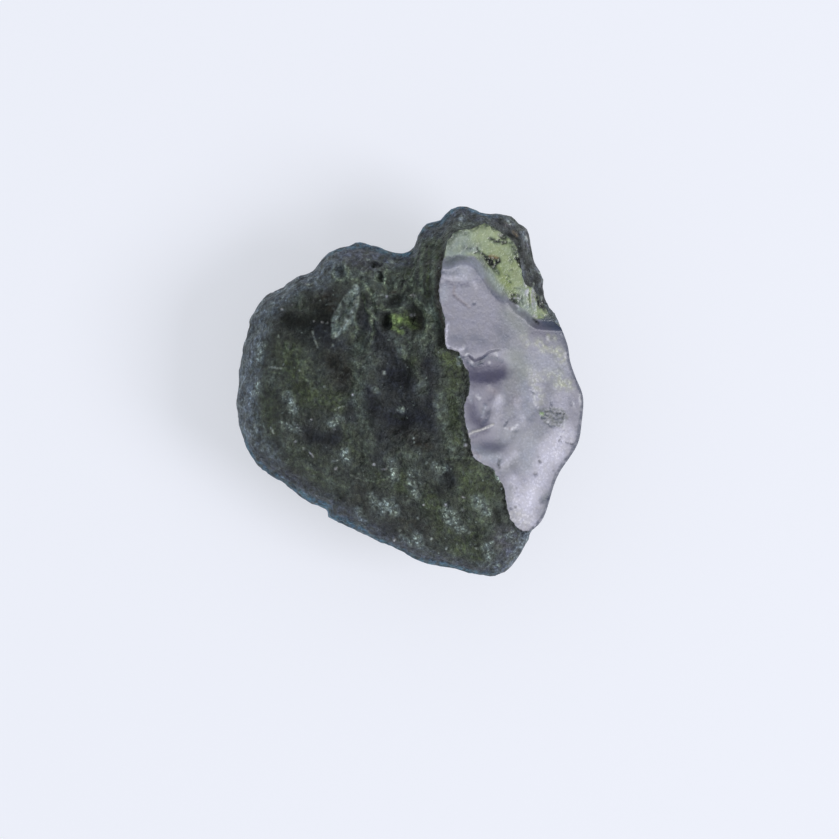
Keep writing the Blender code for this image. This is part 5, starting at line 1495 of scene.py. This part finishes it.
def pit_tree(materials):
    """Geometry nodes that etch a scatter of pits into the worn skin."""
    tree = bpy.data.node_groups.new("etch_pits", "GeometryNodeTree")
    tree.interface.new_socket("Stone", in_out="INPUT", socket_type="NodeSocketGeometry")
    for name in ("Spacing", "Radius", "Depth"):
        tree.interface.new_socket(name, in_out="INPUT", socket_type="NodeSocketFloat")
    tree.interface.new_socket("Seed", in_out="INPUT", socket_type="NodeSocketInt")
    tree.interface.new_socket("Stone", in_out="OUTPUT", socket_type="NodeSocketGeometry")
    source = add(tree, "NodeGroupInput", (-1200, 0))
    sink = add(tree, "NodeGroupOutput", (1600, 0))

    scatter = add(tree, "GeometryNodeDistributePointsOnFaces", (-900, 300),
                  distribute_method="POISSON")
    scatter.inputs["Density Max"].default_value = 2.0e7
    size = add(tree, "FunctionNodeRandomValue", (-900, -200), data_type="FLOAT")
    size.inputs[2].default_value = 0.35
    size.inputs[3].default_value = 1.0
    near = add(tree, "GeometryNodeSampleNearest", (-600, 100))
    where = add(tree, "GeometryNodeInputPosition", (-900, 0))
    pit_place = add(tree, "GeometryNodeSampleIndex", (-300, 200), data_type="FLOAT_VECTOR")
    pit_size = add(tree, "GeometryNodeSampleIndex", (-300, -100), data_type="FLOAT")
    gap = add(tree, "ShaderNodeVectorMath", (0, 200), operation="DISTANCE")
    wide = add(tree, "ShaderNodeMath", (0, -100), operation="MULTIPLY")
    share = add(tree, "ShaderNodeMath", (200, 100), operation="DIVIDE")
    square = add(tree, "ShaderNodeMath", (350, 100), operation="MULTIPLY")
    bowl = add(tree, "ShaderNodeMath", (500, 100), operation="SUBTRACT", use_clamp=True)
    bowl.inputs[0].default_value = 1.0
    worn = add(tree, "GeometryNodeInputNamedAttribute", (350, -100), data_type="FLOAT")
    worn.inputs["Name"].default_value = "worn"
    kept = add(tree, "ShaderNodeMath", (650, 100), operation="MULTIPLY")
    sized = add(tree, "ShaderNodeMath", (800, 100), operation="MULTIPLY")
    deep = add(tree, "ShaderNodeMath", (950, 100), operation="MULTIPLY")
    inward = add(tree, "ShaderNodeMath", (1050, 100), operation="MULTIPLY")
    inward.inputs[1].default_value = -1.0
    normal = add(tree, "GeometryNodeInputNormal", (900, -200))
    move = add(tree, "ShaderNodeVectorMath", (1150, -100), operation="SCALE")
    etched = add(tree, "GeometryNodeSetPosition", (1250, 100))
    join(
        tree,
        (source.outputs["Stone"], scatter.inputs["Mesh"]),
        (source.outputs["Spacing"], scatter.inputs["Distance Min"]),
        (source.outputs["Seed"], scatter.inputs["Seed"]),
        (source.outputs["Seed"], size.inputs["Seed"]),
        (scatter.outputs["Points"], near.inputs["Geometry"]),
        (where.outputs[0], near.inputs["Sample Position"]),
        (scatter.outputs["Points"], pit_place.inputs["Geometry"]),
        (where.outputs[0], pit_place.inputs["Value"]),
        (near.outputs["Index"], pit_place.inputs["Index"]),
        (scatter.outputs["Points"], pit_size.inputs["Geometry"]),
        (size.outputs[1], pit_size.inputs["Value"]),
        (near.outputs["Index"], pit_size.inputs["Index"]),
        (where.outputs[0], gap.inputs[0]),
        (pit_place.outputs["Value"], gap.inputs[1]),
        (pit_size.outputs["Value"], wide.inputs[0]),
        (source.outputs["Radius"], wide.inputs[1]),
        (gap.outputs["Value"], share.inputs[0]),
        (wide.outputs[0], share.inputs[1]),
        (share.outputs[0], square.inputs[0]),
        (share.outputs[0], square.inputs[1]),
        (square.outputs[0], bowl.inputs[1]),
        (bowl.outputs[0], kept.inputs[0]),
        (worn.outputs[0], kept.inputs[1]),
        (kept.outputs[0], sized.inputs[0]),
        (pit_size.outputs["Value"], sized.inputs[1]),
        (sized.outputs[0], deep.inputs[0]),
        (source.outputs["Depth"], deep.inputs[1]),
        (deep.outputs[0], inward.inputs[0]),
        (normal.outputs[0], move.inputs[0]),
        (inward.outputs[0], move.inputs["Scale"]),
        (source.outputs["Stone"], etched.inputs["Geometry"]),
        (move.outputs[0], etched.inputs["Offset"]),
    )
    whole = add(tree, "GeometryNodeRealizeInstances", (1350, 100))
    join(tree, (etched.outputs[0], whole.inputs[0]))
    finished = whole.outputs[0]
    kind = add(tree, "GeometryNodeInputNamedAttribute", (1200, -300), data_type="INT")
    kind.inputs["Name"].default_value = "glass_kind"
    for i, material in enumerate(materials):
        chosen = add(tree, "FunctionNodeCompare", (1350, -300 - 150 * i), data_type="INT",
                     operation="EQUAL")
        chosen.inputs[3].default_value = i
        dress = add(tree, "GeometryNodeSetMaterial", (1450, 100 - 150 * i))
        dress.inputs["Material"].default_value = material
        join(
            tree,
            (kind.outputs[0], chosen.inputs[2]),
            (finished, dress.inputs["Geometry"]),
            (chosen.outputs[0], dress.inputs["Selection"]),
        )
        finished = dress.outputs[0]
    join(tree, (finished, sink.inputs[0]))
    return tree


def set_inputs(modifier, tree, values):
    """Sets a geometry nodes modifier's inputs by the identifiers of their sockets."""
    for item in tree.interface.items_tree:
        if item.item_type == "SOCKET" and item.in_out == "INPUT" and item.name in values:
            modifier[item.identifier] = values[item.name]


class MOLDAVITE_OT_stone(Operator):
    """Build the stone with its etched skin, fracture and shelf"""

    bl_idname = "moldavite.stone"
    bl_label = "Stone"

    def execute(self, context):
        shape, look = context.scene.moldavite_shape, context.scene.moldavite_glass
        grain = grain_group()
        materials = [skin_material(look, grain), fracture_material(look, grain),
                     window_material(look, grain)]
        palette = {name: np.array(getattr(look, name)) for name in COLOURS}
        bm, layers = stone_mesh(shape.cuts, palette)
        kind = bm.faces.layers.int.new("glass_kind")
        for face in bm.faces:
            level = sum(v[layers["level"]] for v in face.verts)
            shelf = sum(v[layers["shelf"]] for v in face.verts)
            face[kind] = 0 if level <= 0 else 2 if shelf > 0 else 1
            face.smooth = True
        for edge in bm.edges:
            edge.smooth = len({face[kind] == 0 for face in edge.link_faces}) == 1
        bmesh.ops.triangulate(bm, faces=bm.faces)
        bmesh.ops.scale(bm, vec=(MM, MM, MM), verts=bm.verts)
        raw = bpy.data.meshes.new("stone_before_etching")
        bm.to_mesh(raw)
        bm.free()
        blank = bpy.data.objects.new("stone_before_etching", raw)
        context.scene.collection.objects.link(blank)
        tree = pit_tree(materials)
        etch = blank.modifiers.new("etch", "NODES")
        etch.node_group = tree
        set_inputs(etch, tree, {"Spacing": shape.pit_spacing, "Radius": shape.pit_radius,
                                "Depth": shape.pit_depth, "Seed": shape.pit_seed})
        context.view_layer.update()
        ready = blank.evaluated_get(context.evaluated_depsgraph_get())
        mesh = bpy.data.meshes.new_from_object(ready)
        bpy.data.objects.remove(blank)
        for vert in mesh.vertices:
            vert.co.z = max(vert.co.z, 0.0)
        stone = bpy.data.objects.new("stone", mesh)
        context.scene.collection.objects.link(stone)
        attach(stone, "root")
        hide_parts(NODE)
        return {"FINISHED"}


def area_light(context, name, place, target, size, radiance, colour):
    """A square soft light of a given radiance, turned to a target."""
    light = bpy.data.lights.new(name, "AREA")
    light.shape = "RECTANGLE"
    light.size, light.size_y = size
    light.energy = radiance * size[0] * size[1] * math.pi
    light.color = colour
    lamp = bpy.data.objects.new(name, light)
    lamp.location = place
    lamp.rotation_euler = (Vector(target) - Vector(place)).to_track_quat("-Z", "Y").to_euler()
    context.scene.collection.objects.link(lamp)
    return lamp


class MOLDAVITE_OT_stage(Operator):
    """Build the pale table, the soft light and the camera"""

    bl_idname = "moldavite.stage"
    bl_label = "Stage"

    def execute(self, context):
        scene, look = context.scene, context.scene.moldavite_stage
        bm = bmesh.new()
        bmesh.ops.create_grid(bm, x_segments=1, y_segments=1, size=3.0)
        mesh = bpy.data.meshes.new("table")
        bm.to_mesh(mesh)
        bm.free()
        table = bpy.data.objects.new("table", mesh)
        scene.collection.objects.link(table)
        paper = bpy.data.materials.new("paper")
        paper.use_nodes = True
        shader = paper.node_tree.nodes["Principled BSDF"]
        shader.inputs["Base Color"].default_value = (*(0.5 * c for c in look.paper), 1)
        shader.inputs["Roughness"].default_value = 0.9
        shader.inputs["Specular IOR Level"].default_value = 0.1
        shader.inputs["Emission Color"].default_value = (*look.paper, 1)
        shader.inputs["Emission Strength"].default_value = 0.6
        mesh.materials.append(paper)

        world = bpy.data.worlds.new("room")
        scene.world = world
        world.use_nodes = True
        sky = world.node_tree.nodes["Background"]
        sky.inputs["Color"].default_value = (0.86, 0.90, 1.0, 1)
        sky.inputs["Strength"].default_value = 0.5
        reach = 0.9
        tilt, turn = math.radians(42), math.radians(-16)
        place = (reach * math.cos(tilt) * math.cos(turn), reach * math.cos(tilt) * math.sin(turn),
                 reach * math.sin(tilt))
        area_light(context, "key", place, (0, 0, 0.005), (0.42, 0.42), 8.2, (0.95, 0.93, 1.0))

        lens = bpy.data.cameras.new("camera")
        lens.sensor_width = 36.0
        camera = bpy.data.objects.new("camera", lens)
        camera.location = (0.57 * MM, -1.74 * MM, look.camera_height)
        lens.lens = lens.sensor_width * (look.camera_height - 5.5 * MM) / look.view_width
        lens.clip_start = 0.01
        scene.collection.objects.link(camera)
        scene.camera = camera
        scene.view_settings.view_transform = "Standard"
        return {"FINISHED"}


class MOLDAVITE_PT_sidebar(Panel):
    """The builders in the 3D view's sidebar"""

    bl_idname = "MOLDAVITE_PT_sidebar"
    bl_label = "Moldavite"
    bl_space_type = "VIEW_3D"
    bl_region_type = "UI"
    bl_category = "Moldavite"

    def draw(self, context):
        layout = self.layout
        for operator in OPERATORS:
            layout.operator(operator.bl_idname)
        for group in ("moldavite_shape", "moldavite_glass", "moldavite_stage"):
            box = layout.box()
            settings = getattr(context.scene, group)
            for name in settings.bl_rna.properties.keys():
                if name not in ("rna_type", "name"):
                    box.prop(settings, name)


OPERATORS = (MOLDAVITE_OT_stone, MOLDAVITE_OT_stage)
GROUPS = {
    "moldavite_shape": StoneShape,
    "moldavite_glass": GlassLook,
    "moldavite_stage": StageLook,
}
CLASSES = (*GROUPS.values(), *OPERATORS, MOLDAVITE_PT_sidebar)


def register():
    for cls in CLASSES:
        bpy.utils.register_class(cls)
    for name, group in GROUPS.items():
        setattr(bpy.types.Scene, name, PointerProperty(type=group))


def unregister():
    for name in GROUPS:
        delattr(bpy.types.Scene, name)
    for cls in reversed(CLASSES):
        bpy.utils.unregister_class(cls)


def main():
    register()
    bpy.ops.moldavite.stone()
    bpy.ops.moldavite.stage()


if __name__ == "__main__":
    main()
